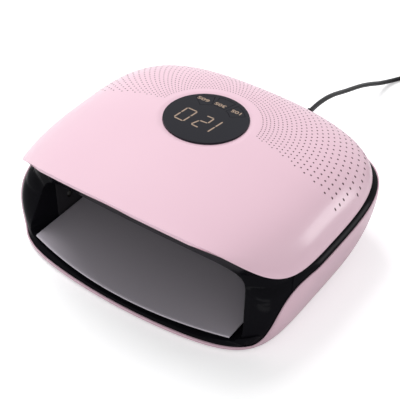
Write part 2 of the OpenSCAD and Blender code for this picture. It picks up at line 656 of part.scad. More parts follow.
// Lead: plug, strain relief, the run to the table, the coil and the adapter
plug_d = 9;
plug_face = jack_rear + 0.3;
plug_l = 18;
module along_y(y) {
    translate([inlet_x, y, inlet_h]) rotate([-90, 0, 0]) children();
}
module dc_plug() color("#1a1a1d") {
    along_y(plug_face) cylinder(d = plug_d, h = plug_l, $fn = 48);
    along_y(plug_face - 9.5) difference() {
        cylinder(d = barrel_d, h = 10, $fn = 48);
        translate([0, 0, -1]) cylinder(d = 2.2, h = 8, $fn = 32);
    }
}
relief_l = 12.5;
relief_end = plug_face + plug_l + relief_l;
module plug_relief() color("#1a1a1d") along_y(plug_face + plug_l)
    rotate_extrude($fn = 48) polygon([[0, 0], [3.6, 0], [2.6, relief_l], [0, relief_l]]);

// Tubes that follow a line of points, with no part of the line upright
function unit(v) = v / norm(v);
function heading(path, i) = unit(path[min(len(path) - 1, i + 1)] - path[max(0, i - 1)]);
function tube_ring(path, i, r, sides) =
    let (side = unit(cross(heading(path, i), [0, 0, 1])), up = cross(side, heading(path, i)))
    [for (k = [0:sides - 1]) path[i] + r * (cos(360 * k / sides) * side + sin(360 * k / sides) * up)];
module tube(path, r, sides) {
    ring_solid([for (i = [0:len(path) - 1]) tube_ring(path, i, r, sides)]);
}
function line_length(path, i = 0) =
    i >= len(path) - 1 ? 0 : norm(path[i + 1] - path[i]) + line_length(path, i + 1);

// Coil: two flat layers, inward along the table and outward on top of itself
lead_r = lead_d / 2;
coil_gap = 0.6;
coil_pitch = lead_d + coil_gap;
tie_t = 0.8;
tie_gap = 0.2;
coil_steps = 24;
coil_in_angle = 135;
coil_out_angle = 90;
coil_turns = coil_loops + (coil_in_angle - coil_out_angle) / 360;
coil_outer_r = coil_r + coil_pitch * coil_turns / 4;
coil_z = lead_r + tie_t + tie_gap;
coil_start = [49, 269.5];
coil_mid = coil_start + coil_outer_r * [-cos(coil_in_angle), -sin(coil_in_angle)];
function smooth(f) = let (c = clamp01(f)) c * c * (3 - 2 * c);
function coil_radius(f) = coil_outer_r - coil_pitch * min(f, coil_turns - f);
function coil_point(f) = let (a = coil_in_angle - 360 * f, r = coil_radius(f))
    [coil_mid[0] + r * cos(a), coil_mid[1] + r * sin(a),
        coil_z + coil_pitch * smooth((f - coil_turns / 2) / 0.5 + 0.5)];
coil_line = [for (k = [0:coil_turns * coil_steps]) coil_point(k / coil_steps)];
in_way = [sin(coil_in_angle), -cos(coil_in_angle), 0];
out_way = [sin(coil_out_angle), -cos(coil_out_angle), 0];
coil_end = coil_line[len(coil_line) - 1];

// Route from the strain relief to the coil, chosen by hand
lead_route = concat(
    [[inlet_x, relief_end, inlet_h], [inlet_x, relief_end + lead_d, inlet_h]],
    [[20, 125, 42.9], [20, 132, 42], [20, 140, 40.3], [20, 149, 37.5], [20, 158, 34],
        [20, 167, 30.4], [20, 176, 27], [20, 185, 23.6], [20.1, 194, 20], [20.3, 203, 16],
        [20.7, 212, 11.8], [21.5, 221, 7.6], [22.9, 229.5, 4.4], [25.2, 237.5, 2.4],
        [28.3, 244, 1.8], [32.4, 250.4, 1.8], [37, 256.5, 2.2]],
    [coil_line[0] - 2 * lead_d * in_way, coil_line[0] - lead_d * in_way]);

// Adapter at the far end
adapter_l = 64;
adapter_w = 42;
adapter_t = 28;
adapter_edge = 4;
tail_l = 30;
adapter_relief_l = 20;
tail_line = concat([coil_end],
    [for (k = [0:4]) coil_end + (lead_d + (tail_l - 2 * lead_d) * k / 4) * out_way
        + [0, 0, (adapter_t / 2 - coil_end[2]) * smooth(k / 4)]],
    [[coil_end[0] + tail_l, coil_end[1], adapter_t / 2]]);
tail_end = tail_line[len(tail_line) - 1];
coil_path = concat([coil_line[0] - lead_d * in_way], coil_line, [for (k = [1:len(tail_line) - 1]) tail_line[k]]);
module lead_run() color(black) tube(lead_route, lead_r, 8);
module lead_coil() color(black) tube(coil_path, lead_r, 6);
tie_w = 6;
tie_in = coil_outer_r - coil_pitch * coil_turns / 2 - lead_r - tie_gap;
tie_out = coil_outer_r + lead_r + tie_gap;
tie_h = coil_pitch + lead_d + 2 * tie_gap;
module coil_tie() color("#38383c") translate([coil_mid[0], coil_mid[1], 0]) rotate([0, 0, 180])
    difference() {
        translate([tie_in - tie_t, -tie_w / 2, 0])
            cube([tie_out - tie_in + 2 * tie_t, tie_w, tie_h + 2 * tie_t]);
        translate([tie_in, -tie_w, tie_t]) cube([tie_out - tie_in, 2 * tie_w, tie_h]);
    }
module at_adapter(x = 0) {
    translate(tail_end + [x, 0, 0]) rotate([0, 90, 0]) children();
}
module adapter_relief() color(black) at_adapter()
    rotate_extrude($fn = 48) polygon([[0, 0], [lead_r + 0.7, 0], [4, adapter_relief_l],
        [0, adapter_relief_l]]);
module power_adapter() color(black) translate([tail_end[0] + adapter_relief_l, tail_end[1], 0])
    rotate([90, 0, 90]) linear_extrude(adapter_l) polygon([
        [adapter_edge - adapter_w / 2, 0], [adapter_w / 2 - adapter_edge, 0],
        [adapter_w / 2, adapter_edge], [adapter_w / 2, adapter_t - adapter_edge],
        [adapter_w / 2 - adapter_edge, adapter_t], [adapter_edge - adapter_w / 2, adapter_t],
        [-adapter_w / 2, adapter_t - adapter_edge], [-adapter_w / 2, adapter_edge]]);
module adapter_pins() color("silver") for (y = [-6.35, 6.35])
    translate([tail_end[0] + adapter_relief_l + adapter_l, tail_end[1] + y - 0.8, adapter_t / 2 - 3.2])
        cube([17, 1.6, 6.4]);

// Least gap between the coil's turns, measured on its points
coil_gaps = [for (i = [0:len(coil_line) - 1]) for (j = [i + coil_steps / 2:len(coil_line) - 1])
    norm(coil_line[i] - coil_line[j]) - lead_d];
echo(least_coil_gap = min(coil_gaps));
echo(lead_length = relief_l + line_length(lead_route) + line_length(coil_path));

top_cover();
display_window();
key_10s();
key_30s();
key_60s();
window_holder();
holder_screws();
control_board();
digit_module();
key_switches();
front_frame();
side_band();
chamber_ceiling_panel();
chamber_left_panel();
chamber_right_panel();
chamber_floor_panel();
chamber_rear_panel();
ceiling_led_board();
left_led_board();
right_led_board();
ceiling_beads();
left_beads();
right_beads();
board_screws();
hand_sensor();
power_board();
power_parts();
dc_jack();
lower_shell();
floor_tray();
tray_magnets();
rubber_feet();
case_screws();
dc_plug();
plug_relief();
lead_run();
lead_coil();
coil_tie();
adapter_relief();
power_adapter();
adapter_pins();
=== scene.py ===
"""Dresses the LED nail lamp: pearl pink cover with its vents, round display, black frame,
lower shell, tray, and the lead with its adapter."""

import math
from contextlib import contextmanager

import bmesh
import bpy
from bpy.props import FloatProperty, FloatVectorProperty, IntProperty, PointerProperty
from mathutils import Matrix, Vector


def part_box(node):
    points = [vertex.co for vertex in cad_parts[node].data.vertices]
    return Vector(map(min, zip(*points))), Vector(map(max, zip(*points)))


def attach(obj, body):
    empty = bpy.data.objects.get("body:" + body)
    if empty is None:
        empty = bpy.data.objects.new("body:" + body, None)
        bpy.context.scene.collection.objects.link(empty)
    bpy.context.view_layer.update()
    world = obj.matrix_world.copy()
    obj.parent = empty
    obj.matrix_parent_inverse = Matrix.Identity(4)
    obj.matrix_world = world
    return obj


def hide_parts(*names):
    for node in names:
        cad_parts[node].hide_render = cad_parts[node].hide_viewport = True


bl_info = {
    "name": "LED nail lamp",
    "version": (1, 0, 0),
    "blender": (4, 5, 0),
    "location": "View3D > Sidebar > Nail lamp",
    "description": "Builds the looks of a domed LED nail lamp around its CAD frame",
    "category": "Object",
}

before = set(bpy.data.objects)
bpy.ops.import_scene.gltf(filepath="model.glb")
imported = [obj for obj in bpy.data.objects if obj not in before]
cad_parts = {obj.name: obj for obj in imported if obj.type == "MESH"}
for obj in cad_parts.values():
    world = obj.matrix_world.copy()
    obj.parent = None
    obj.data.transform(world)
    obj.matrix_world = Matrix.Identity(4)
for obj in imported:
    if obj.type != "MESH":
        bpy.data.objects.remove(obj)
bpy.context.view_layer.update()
MM = 0.001
NEAR_ZERO = 1e-6
NODE_BOXES = {}


def node_box(node):
    """Lowest and highest corner of a CAD node, in millimetres."""
    if node not in NODE_BOXES:
        low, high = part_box(node)
        NODE_BOXES[node] = (Vector(low) / MM, Vector(high) / MM)
    return NODE_BOXES[node]


def node_size(node, axis):
    """Size of a CAD node along an axis, in millimetres."""
    low, high = node_box(node)
    return high[axis] - low[axis]


def node_edge(node, axis, high=True):
    """Lowest or highest place of a CAD node along an axis, in millimetres."""
    return node_box(node)[1 if high else 0][axis]


# Places that the pieces share, in millimetres
COVER_Y = -2.2
SHELL_Y = -10.0
SIDE_EDGE_H = node_edge("top_cover", 2, False)
BAND_H = 4.9
SHELL_SIDE_H = SIDE_EDGE_H - BAND_H
FOOT_H = node_edge("lower_shell", 2, False)
WINDOW_LOW, WINDOW_HIGH = node_box("display_window")
WINDOW_R = (WINDOW_HIGH.x - WINDOW_LOW.x) / 2
INLET = Vector((20.0, 0.0, 43.0))


# Kinds of setting, each with its name, description and default
def size_setting(name, text, default, **limits):
    """A length in millimetres."""
    return FloatProperty(name=name, description=text + ", in mm", default=default, **limits)


def angle_setting(name, text, default):
    """An angle, which is given in degrees and kept in radians."""
    return FloatProperty(name=name, description=text, subtype="ANGLE",
                         default=math.radians(default))


def power_setting(name, text, default):
    """The power of a lamp, in watts."""
    return FloatProperty(name=name, description=text, unit="POWER", default=default)


def colour_setting(name, text, *rgb):
    """A colour as red, green and blue."""
    return FloatVectorProperty(name=name, description=text, subtype="COLOR", default=rgb)


class CoverSettings(bpy.types.PropertyGroup):
    """Sizes of the top cover."""

    width: size_setting("Width", "Across the side edges", node_size("top_cover", 0))
    front: size_setting("Front reach", "From the widest line to the front edge",
                        COVER_Y - node_edge("top_cover", 1, False))
    rear: size_setting("Rear reach", "From the widest line to the rear edge",
                       node_edge("top_cover", 1) - COVER_Y)
    crown: size_setting("Crown height", "Top of the dome above the table",
                        node_edge("top_cover", 2))
    brow: size_setting("Brow height", "Front edge at its middle, above the table", 88.5)
    rear_edge: size_setting("Rear edge height", "Rear edge above the table", 55.9)
    wall: size_setting("Wall", "Thickness of the cover", 2.2, min=0.5)
    cells: IntProperty(name="Cells", description="Cells of the dome's grid along each side",
                       default=116, min=20)
    dish: size_setting("Dish depth", "How far the cover dips round the window", 0.8)
    dish_w: size_setting("Dish width", "Width of the dip round the window", 4.5)


class VentSettings(bpy.types.PropertyGroup):
    """Pattern of the vent holes."""

    rings: IntProperty(name="Rings", description="Number of rings of holes", default=22, min=1)
    first: size_setting("First ring", "Radius of the innermost ring", 36.8)
    step: size_setting("Ring step", "Distance from the first ring to the second", 2.3)
    growth: size_setting("Step growth", "How much each step is wider than the last", 0.108)
    spoke: angle_setting("Spoke angle", "Angle between holes of a ring", 3.1)
    hole: size_setting("Hole", "Diameter of an innermost hole", 0.85)
    hole_growth: FloatProperty(name="Hole growth", default=0.0085,
                               description="How much a hole widens per mm outward")
    margin: size_setting("Margin", "Bare width along the rear edge", 5.0)


class DisplaySettings(bpy.types.PropertyGroup):
    """Window, digits and legends."""

    tilt: angle_setting("Tilt", "Backward tilt of the window", 3.0)
    stroke: size_setting("Stroke", "Width of a digit's strokes", 1.0)
    legend: size_setting("Legend height", "Height of the key legends", 3.1)
    gold: colour_setting("Digit colour", "Pale gold of digits and legends", 0.42, 0.30, 0.22)


class FrameSettings(bpy.types.PropertyGroup):
    """Black frame and side band."""

    wall: size_setting("Wall", "Thickness of the black parts", 1.6)
    fine: IntProperty(name="Fineness", description="Cells for each station round the opening",
                      default=5, min=1)
    rim: size_setting("Rim radius", "Rounding of the frame's creases", 0.6)
    bulge: size_setting("Band bulge", "How far the side band swells outwards", 0.5)
    black: colour_setting("Black", "Colour of the frame and the band", 0.0045, 0.0043, 0.0058)


class ShellSettings(bpy.types.PropertyGroup):
    """Lower shell, and the pink that it shares with the cover."""

    cells: IntProperty(name="Cells", description="Cells of the shell's grid along each side",
                       default=150, min=20)
    wall: size_setting("Wall", "Thickness of the shell's rim", 0.85)
    edge: size_setting("Edge radius", "Rounding of the shell's rim", 0.3)
    pink: colour_setting("Pink", "Body colour of cover and shell", 0.83, 0.57, 0.665)


class LeadSettings(bpy.types.PropertyGroup):
    """Lead from the inlet to the adapter."""

    diameter: size_setting("Diameter", "Diameter of the lead", 3.6)
    loops: IntProperty(name="Loops", description="Whole loops in the put-away coil", default=7)
    black: colour_setting("Black", "Colour of the lead", 0.006, 0.006, 0.007)


class StudioSettings(bpy.types.PropertyGroup):
    """Camera, sky and lamps."""

    lens: FloatProperty(name="Focal length", description="For a sensor 36 mm wide", unit="CAMERA",
                        default=99.0, min=10)
    azimuth: angle_setting("Azimuth", "Camera's turn from straight ahead", 35.66)
    elevation: angle_setting("Elevation", "How far the camera looks down", 40.83)
    sky: FloatProperty(name="Sky light", description="Strength of the even light from all round",
                       default=0.48)
    key: power_setting("Key light", "Power of the large soft lamp overhead", 17.0)
    strip: power_setting("Strip light", "Power of the low lamp at the right rear", 2.6)
    front: power_setting("Front light", "Power of the low lamp in front", 2.3)


GROUPS = {
    "lamp_cover": CoverSettings,
    "lamp_vents": VentSettings,
    "lamp_display": DisplaySettings,
    "lamp_frame": FrameSettings,
    "lamp_shell": ShellSettings,
    "lamp_lead": LeadSettings,
    "lamp_studio": StudioSettings,
}


def settings(name):
    """One group of the lamp's settings, such as cover."""
    return getattr(bpy.context.scene, "lamp_" + name)


# Shapes that the cover, the frame and the shell share
def mix(a, b, f):
    return a + (b - a) * f


def clamp01(v):
    return min(1.0, max(0.0, v))


def smooth(f):
    f = clamp01(f)
    return f * f * (3 - 2 * f)


def arc_pow(v, n):
    """A sine or cosine, bent so that a circle turns into a rounded square of power n."""
    return math.copysign(abs(v) ** (2 / n), v)


def outline(t, half_w, front, rear, n_front, n_rear, mid_y):
    """Point of a rounded square at angle t in radians."""
    c, s = math.cos(t), math.sin(t)
    n, reach = (n_front, front) if s < 0 else (n_rear, rear)
    return Vector((half_w * arc_pow(c, n), mid_y + reach * arc_pow(s, n)))


def angle_towards(u, v, n_front, n_rear):
    """Angle at which a rounded square's outline lies in the direction of u and v."""
    half_n = (n_front if v < 0 else n_rear) / 2
    return math.atan2(math.copysign(abs(v) ** half_n, v), math.copysign(abs(u) ** half_n, u))


COVER_N = (3.15, 4.0)  # how square the corners are, front and rear


def cover_edge(t, inset=0.0):
    """Point of the cover's edge at angle t, seen from above."""
    cover = settings("cover")
    half_w, front, rear = (size - inset for size in (cover.width / 2, cover.front, cover.rear))
    return outline(t, half_w, front, rear, *COVER_N, COVER_Y)


def cover_edge_z(x, y):
    """Height of the cover's edge, which rises to the brow in front."""
    cover, arch_n = settings("cover"), 8
    f = clamp01((COVER_Y - y) / cover.front)
    r = clamp01((y - COVER_Y) / cover.rear)
    arch = 1 - min(1, abs(x) / (cover.width / 2)) ** arch_n
    return (SIDE_EDGE_H + (cover.brow - SIDE_EDGE_H) * f * f * arch
            + (cover.rear_edge - SIDE_EDGE_H) * r * r)


def crown_z(x, y):
    """Height of the flat top that the dome rolls off from."""
    side_r, rear_r, front_r = 360, 352, 2000
    slope_r = rear_r if y > COVER_Y else front_r
    return settings("cover").crown - x * x / (2 * side_r) - (y - COVER_Y) ** 2 / (2 * slope_r)


def cover_point(t, f):
    """Point of the dome towards angle t, with f from 0 at the crown to 1 at the edge."""
    roll_p, roll_q = 8.3, 1.6
    edge = cover_edge(t)
    x, y = edge.x * f, COVER_Y + (edge.y - COVER_Y) * f
    low = cover_edge_z(edge.x, edge.y)
    rise = max(0.0, crown_z(x, y) - low)
    return Vector((x, y, low + rise * max(0.0, 1 - f**roll_p) ** (1 / roll_q)))


def cover_t(x, y):
    """Angle of the cover's edge in the direction of x and y."""
    cover = settings("cover")
    reach = cover.front if y < COVER_Y else cover.rear
    return angle_towards(x / (cover.width / 2), (y - COVER_Y) / reach, *COVER_N)


def cover_spot(x, y):
    """Angle and share of the way to the edge at which the dome is above x and y."""
    t = cover_t(x, y)
    edge = cover_edge(t)
    return t, math.hypot(x, y - COVER_Y) / math.hypot(edge.x, edge.y - COVER_Y)


SHELL_BASE_HALF = 96.8  # half the width of the shell's base


def shell_n(z):
    """How square the shell's front corners are at height z."""
    base_n, side_n = 6.7, 3.24
    return mix(base_n, side_n, clamp01(z / SHELL_SIDE_H) ** 3)


def shell_point(t, z, inset=0.0):
    """Point of the lower shell's skin at angle t and height z. Its front is bowed backwards."""
    base_rear, belly_n, rear_n, bow, bow_fade = 59.0, 1.71, 4.78, 12.5, 30
    full = (1 - (1 - clamp01(z / SHELL_SIDE_H)) ** belly_n) ** (1 / belly_n)
    half_w = mix(SHELL_BASE_HALF, node_size("lower_shell", 0) / 2, full) - inset
    front = SHELL_Y - node_edge("lower_shell", 1, False) - inset
    rear = mix(base_rear, node_edge("lower_shell", 1) - SHELL_Y, full) - inset
    p = outline(t, half_w, front, rear, shell_n(z), rear_n, SHELL_Y)
    p.y += bow * (p.x / half_w) ** 2 * clamp01((SHELL_Y - p.y) / bow_fade)
    return Vector((p.x, p.y, z))


def from_front(t):
    """Angle t counted from the front in degrees, the same to both sides."""
    d = (math.degrees(t) + 90) % 360
    return 360 - d if d > 180 else d


def sweep(d):
    """How far the shell's edge has swept up at d degrees from the front."""
    sweep_at, rate, skew = 59.2, 0.275, 1.376
    return (1 / (1 + math.exp(-(d - sweep_at) * rate))) ** skew


LIP_H = 4.1  # the shell's edge under the opening


def shell_edge_z(t):
    """Height of the shell's edge, which sweeps up from the lip to the band."""
    edge = shell_point(t, SHELL_SIDE_H)
    side = SHELL_SIDE_H if edge.y < COVER_Y else cover_edge_z(edge.x, edge.y) - BAND_H
    return mix(LIP_H, side, (sweep(from_front(t)) - sweep(0)) / (sweep(180) - sweep(0)))


# Stations of the right half of the opening, from top middle to bottom middle
TOP_STEPS, SIDE_STEPS, FAN_STEPS, LOW_STEPS = 12, 16, 4, 10
HALF_STEPS = TOP_STEPS + SIDE_STEPS + LOW_STEPS
TUNNEL_FRONT = -50.0
MOUTH_HALF_W, MOUTH_H, SILL_H = 83.8, 42.6, 5.2
MITRE_AT = math.radians(24.5)
BAND_START, LOW_CORNER, FAN_START = 70, 48, 28  # degrees from the front
EDGE_INSET, COVER_GAP, SHELL_GAP = 0.8, 0.25, 0.2  # of the black parts


def station_uv(i):
    """Place of station i on a square from -1 to 1."""
    if i <= TOP_STEPS:
        return i / TOP_STEPS, 1.0
    if i <= TOP_STEPS + SIDE_STEPS:
        return 1.0, 1 - 2 * (i - TOP_STEPS) / SIDE_STEPS
    return 1 - (i - TOP_STEPS - SIDE_STEPS) / LOW_STEPS, -1.0


def on_square(u, v, n):
    """Factor that brings u and v onto a rounded square."""
    return (abs(u) ** n + abs(v) ** n) ** (-1 / n)


def mouth_point(u, v):
    """Point of the opening's rim."""
    arch_h, taper, lean, bow, set_back, top_n, sill_n = 8.1, 0.2, 0.414, 12.4, 2.2, 9, 8.6
    mid_z = SILL_H + MOUTH_H / 2
    mid_y = node_edge("lower_shell", 1, False) + set_back + lean * MOUTH_H / 2
    k = on_square(u, v, top_n if v > 0 else sill_n)
    up = v * k
    x = u * k * (MOUTH_HALF_W - taper * up * MOUTH_H / 2)
    side = (abs(x) / MOUTH_HALF_W) ** 2
    z = mid_z + up * MOUTH_H / 2 + arch_h * max(0.0, up) * (1 - side)
    return Vector((x, mid_y + lean * (z - mid_z) + bow * side, z))


def tunnel_point(u, v):
    """Point where the frame meets the lamp chamber."""
    half_w, floor, ceiling, top_n, floor_n = 80.0, 7.5, 50.0, 12, 120
    k = on_square(u, v, top_n if v > 0 else floor_n)
    half_h = (ceiling - floor) / 2
    return Vector((u * k * half_w, TUNNEL_FRONT, floor + half_h + v * k * half_h))


def under_cover(t):
    """Upper edge of the black parts, just under the cover's edge."""
    edge = cover_edge(t, EDGE_INSET)
    return Vector((edge.x, edge.y, cover_edge_z(edge.x, edge.y) - COVER_GAP))


def in_shell(t, z):
    """Point of the black parts' skin, just inside the shell's wall."""
    return shell_point(t, z, settings("shell").wall + SHELL_GAP)


def frame_low(t):
    """Lower edge of the black parts, where they tuck inside the shell."""
    tuck, least = 3, 0.2
    return in_shell(t, max(shell_edge_z(t) - tuck, LIP_H - least + least * from_front(t) / 90))


def skin_t(i):
    """Angle of the shell's skin that station i comes from."""
    s = i - TOP_STEPS
    if s <= FAN_STEPS:
        return -math.radians(mix(FAN_START, 90 - BAND_START, max(0, s) / FAN_STEPS))
    if s <= SIDE_STEPS:
        f = clamp01((s - FAN_STEPS - 1) / (SIDE_STEPS - FAN_STEPS - 1))
        return math.radians(mix(BAND_START, LOW_CORNER, f) - 90)
    f = 1 - (s - SIDE_STEPS) / LOW_STEPS
    corner = shell_point(math.radians(LOW_CORNER - 90), LIP_H)
    return -math.acos(min(1, f * corner.x / SHELL_BASE_HALF) ** (shell_n(LIP_H) / 2))


def frame_edge(i):
    """Outer edge of the black face at station i."""
    s = i - TOP_STEPS
    if s <= 0:
        half_w = settings("cover").width / 2 - EDGE_INSET
        share = cover_edge(-MITRE_AT, EDGE_INSET).x * i / TOP_STEPS / half_w
        return under_cover(-math.acos(min(1, share) ** (COVER_N[0] / 2)))
    if s <= FAN_STEPS:
        start = shell_point(math.radians(BAND_START - 90), SHELL_SIDE_H)
        return under_cover(mix(-MITRE_AT, cover_t(start.x, start.y), s / FAN_STEPS))
    if s < FAN_STEPS + 1:
        fan_end = TOP_STEPS + FAN_STEPS
        return mix(frame_edge(fan_end), frame_edge(fan_end + 1), s - FAN_STEPS)
    return frame_low(skin_t(i))


def face_point(i, f):
    """Point of the black face at station i, with f from 0 at its outer edge to 1 at the rim."""
    rim_lead, low_fade = 4, 0.8
    rim, edge = mouth_point(*station_uv(i)), frame_edge(i)
    flat = mix(edge, rim, f)
    full = clamp01((i - TOP_STEPS) / FAN_STEPS) * clamp01((HALF_STEPS - i) / (LOW_STEPS * low_fade))
    if full <= 0:
        return flat
    share = min(1, (abs(rim.x) + rim_lead) / in_shell(0, rim.z).x)
    rim_t = -math.acos(share ** (shell_n(rim.z) / 2))
    skin = in_shell(mix(skin_t(i), rim_t, f), mix(edge.z, rim.z, f))
    off_edge = edge - in_shell(skin_t(i), edge.z)
    off_rim = rim - in_shell(rim_t, rim.z)
    return mix(flat, skin + (1 - f) ** 2 * off_edge + f * f * off_rim, full)


# Work that every piece needs
def only(piece):
    """Leaves one object selected and active."""
    bpy.ops.object.select_all(action="DESELECT")
    piece.select_set(True)
    bpy.context.view_layer.objects.active = piece


@contextmanager
def editing(piece):
    """Edit mode on one piece, with all of it selected."""
    only(piece)
    bpy.ops.object.mode_set(mode="EDIT")
    bpy.ops.mesh.select_all(action="SELECT")
    yield
    bpy.ops.object.mode_set(mode="OBJECT")


def added(name, primitive, **values):
    """A new primitive under its name, selected alone."""
    bpy.ops.object.select_all(action="DESELECT")
    primitive(**values)
    piece = bpy.context.object
    piece.name = piece.data.name = name
    return piece


def applied(piece, kind, **values):
    """Adds a modifier and applies it."""
    only(piece)
    bpy.ops.object.modifier_add(type=kind)
    modifier = piece.modifiers[-1]
    for name, value in values.items():
        setattr(modifier, name, value)
    bpy.ops.object.modifier_apply(modifier=modifier.name)


def bevelled(piece, width, segments, angle):
    """Rounds the edges that are sharper than an angle."""
    applied(piece, "BEVEL", width=width * MM, segments=segments, limit_method="ANGLE",
            angle_limit=math.radians(angle))


def grid_piece(name, columns, rows, place):
    """A grid whose points move to place(u, v), in millimetres, with u and v from -1 to 1."""
    piece = added(name, bpy.ops.mesh.primitive_grid_add, x_subdivisions=columns,
                  y_subdivisions=rows, size=2)
    for vertex in piece.data.vertices:
        vertex.co = place(vertex.co.x, vertex.co.y) * MM
    with editing(piece):
        bpy.ops.mesh.remove_doubles(threshold=0.00001)
        bpy.ops.mesh.normals_make_consistent(inside=False)
    return piece


def face_out(piece, direction=None):
    """Turns an open surface to face a direction, or else away from the lamp's upright axis."""
    total = sum(face.normal.dot(Vector(direction or (*face.center.xy, 0))) * face.area
                for face in piece.data.polygons)
    if total < 0:
        with editing(piece):
            bpy.ops.mesh.flip_normals()


def walled(piece, wall, edge):
    """Gives an open surface its wall on the inside and rounds the wall's edges."""
    applied(piece, "SOLIDIFY", thickness=wall * MM, offset=-1)
    bevelled(piece, edge, segments=2, angle=55)


def shade(piece, angle):
    only(piece)
    bpy.ops.object.shade_smooth_by_angle(angle=math.radians(angle))


def cut(piece, cutter):
    """Takes a cutter out of a piece."""
    applied(piece, "BOOLEAN", object=cutter, operation="DIFFERENCE", solver="MANIFOLD")
    bpy.data.objects.remove(cutter)


def rod(name, radius, low, high, sides, x=0.0, y=0.0):
    """An upright cylinder between two heights, in millimetres."""
    piece = added(name, bpy.ops.mesh.primitive_cylinder_add, vertices=sides, radius=radius * MM,
                  depth=(high - low) * MM, location=(x * MM, y * MM, (low + high) / 2 * MM))
    bpy.ops.object.transform_apply(location=True, rotation=True, scale=True)
    return piece


def joined(name, pieces):
    """Makes several meshes one piece."""
    only(pieces[0])
    for piece in pieces:
        piece.select_set(True)
    bpy.ops.object.join()
    pieces[0].name = pieces[0].data.name = name
    return pieces[0]


def turned(name, profile, matrix):
    """A turned piece: its profile, as radius and height, is spun about the matrix's Z axis."""
    sides, rows = 32, len(profile) - 1

    def place(u, v):
        radius, height = profile[round((v + 1) / 2 * rows)]
        a = math.pi * (u + 1)
        return matrix @ Vector((radius * math.cos(a), radius * math.sin(a), height))

    return grid_piece(name, sides, rows, place)


def finished(piece, material, body, slot, *nodes):
    """Gives a piece its material and its body, and hides the CAD nodes that it stands for. The slot
    is not used.
    """
    piece.data.materials.clear()
    piece.data.materials.append(material)
    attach(piece, body)
    if nodes:
        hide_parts(*nodes)
    return piece


def dress(material, *nodes):
    """Gives CAD nodes that are shown as they are a better material."""
    for node in nodes:
        for material_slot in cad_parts[node].material_slots:
            material_slot.material = material


# Effects that several materials share. A colour is written as three numbers
def fill(node, inputs):
    """Gives a node's inputs their values, or the sockets that feed them."""
    for place, value in inputs.items():
        socket = node.inputs[place]
        if isinstance(value, bpy.types.NodeSocket):
            node.id_data.links.new(value, socket)
        else:
            socket.default_value = (*value, 1) if socket.type == "RGBA" else value


def add_node(tree, kind, inputs=None, **modes):
    """A new node with its modes and inputs."""
    node = tree.nodes.new("ShaderNode" + kind)
    for name, value in modes.items():
        setattr(node, name, value)
    fill(node, inputs or {})
    return node


def effect_group(name, inputs, outputs):
    """A new shader node group. Returns its tree, the sockets that go in and the node at its end."""
    tree = bpy.data.node_groups.new(name, "ShaderNodeTree")
    for socket, value in inputs.items():
        kind = "NodeSocketColor" if isinstance(value, tuple) else "NodeSocketFloat"
        value = (*value, 1) if isinstance(value, tuple) else value
        tree.interface.new_socket(socket, in_out="INPUT", socket_type=kind).default_value = value
    for socket, kind in outputs.items():
        tree.interface.new_socket(socket, in_out="OUTPUT", socket_type="NodeSocket" + kind)
    return tree, tree.nodes.new("NodeGroupInput").outputs, tree.nodes.new("NodeGroupOutput")


def object_place(tree):
    """The place on the piece, in its own coordinates."""
    return add_node(tree, "TexCoord").outputs["Object"]


def add_noise(tree, scale, detail, vector, roughness=0.5):
    """The grey value of a noise."""
    values = {"Scale": scale, "Detail": detail, "Vector": vector, "Roughness": roughness}
    return add_node(tree, "TexNoise", values).outputs["Fac"]


def drift_group():
    """Slow drift between two colours, as in a lacquer."""
    tree, given, result = effect_group(
        "Tint drift", {"Base": (1, 1, 1), "Other": (0, 0, 0), "Scale": 12.0}, {"Colour": "Color"})
    noise = add_noise(tree, given["Scale"], 3.0, object_place(tree))
    blend = add_node(tree, "Mix", {"Factor": noise, "A": given["Base"], "B": given["Other"]},
                     data_type="RGBA")
    fill(result, {"Colour": blend.outputs["Result"]})
    return tree


def surface_group(name, inputs, distance, pattern):
    """An effect with a normal and a roughness. pattern(tree, given) makes the relief and the
    patches of roughness, and says between which values of the patches the roughness goes."""
    tree, given, result = effect_group(name, inputs, {"Normal": "Vector", "Roughness": "Float"})
    relief, patches, low, high = pattern(tree, given)
    bump = add_node(tree, "Bump", {
        "Distance": distance, "Strength": given["Height"], "Height": relief})
    spread = add_node(tree, "MapRange", {
        "Value": patches, "From Min": low, "From Max": high,
        "To Min": given["Smoothest"], "To Max": given["Roughest"]})
    fill(result, {"Normal": bump.outputs["Normal"], "Roughness": spread.outputs["Result"]})
    return tree


def grain_group():
    """Fine surface grain: a normal, and a roughness that varies a little."""

    def pattern(tree, given):
        place = object_place(tree)
        relief = add_noise(tree, given["Scale"], 4.0, place)
        return relief, add_noise(tree, 30.0, 5.0, place, 0.7), 0.35, 0.65

    return surface_group(
        "Fine grain", {"Scale": 900.0, "Height": 0.02, "Smoothest": 0.2, "Roughest": 0.3},
        0.001, pattern)


def brushed_group():
    """Long fine lines along X, as on brushed metal."""

    def pattern(tree, given):
        stretch = add_node(tree, "Mapping", {
            "Vector": object_place(tree), "Scale": (12, 1500, 1500)})
        lines = add_noise(tree, 1.0, 3.0, stretch.outputs["Vector"])
        return lines, lines, 0.0, 1.0

    return surface_group(
        "Brushed lines", {"Height": 0.05, "Smoothest": 0.2, "Roughest": 0.4}, 0.0005, pattern)


EFFECTS = {}


def add_effect(tree, maker, **values):
    """Places a shared effect in a material, with its own values."""
    if maker not in EFFECTS:
        EFFECTS[maker] = maker()
    return add_node(tree, "Group", values, node_tree=EFFECTS[maker])


def new_material(name, **shader):
    """A material. Its uniform values are set on the main shader's own sockets."""
    material = bpy.data.materials.new(name)
    material.use_nodes = True
    main = material.node_tree.nodes["Principled BSDF"]
    fill(main, {socket.replace("_", " "): value for socket, value in shader.items()})
    return material, material.node_tree, main


def feed(main, colour, skin):
    """Leads a colour, and an effect's roughness and normal, to the main shader."""
    fill(main, {"Base Color": colour, "Roughness": skin.outputs["Roughness"],
                "Normal": skin.outputs["Normal"]})


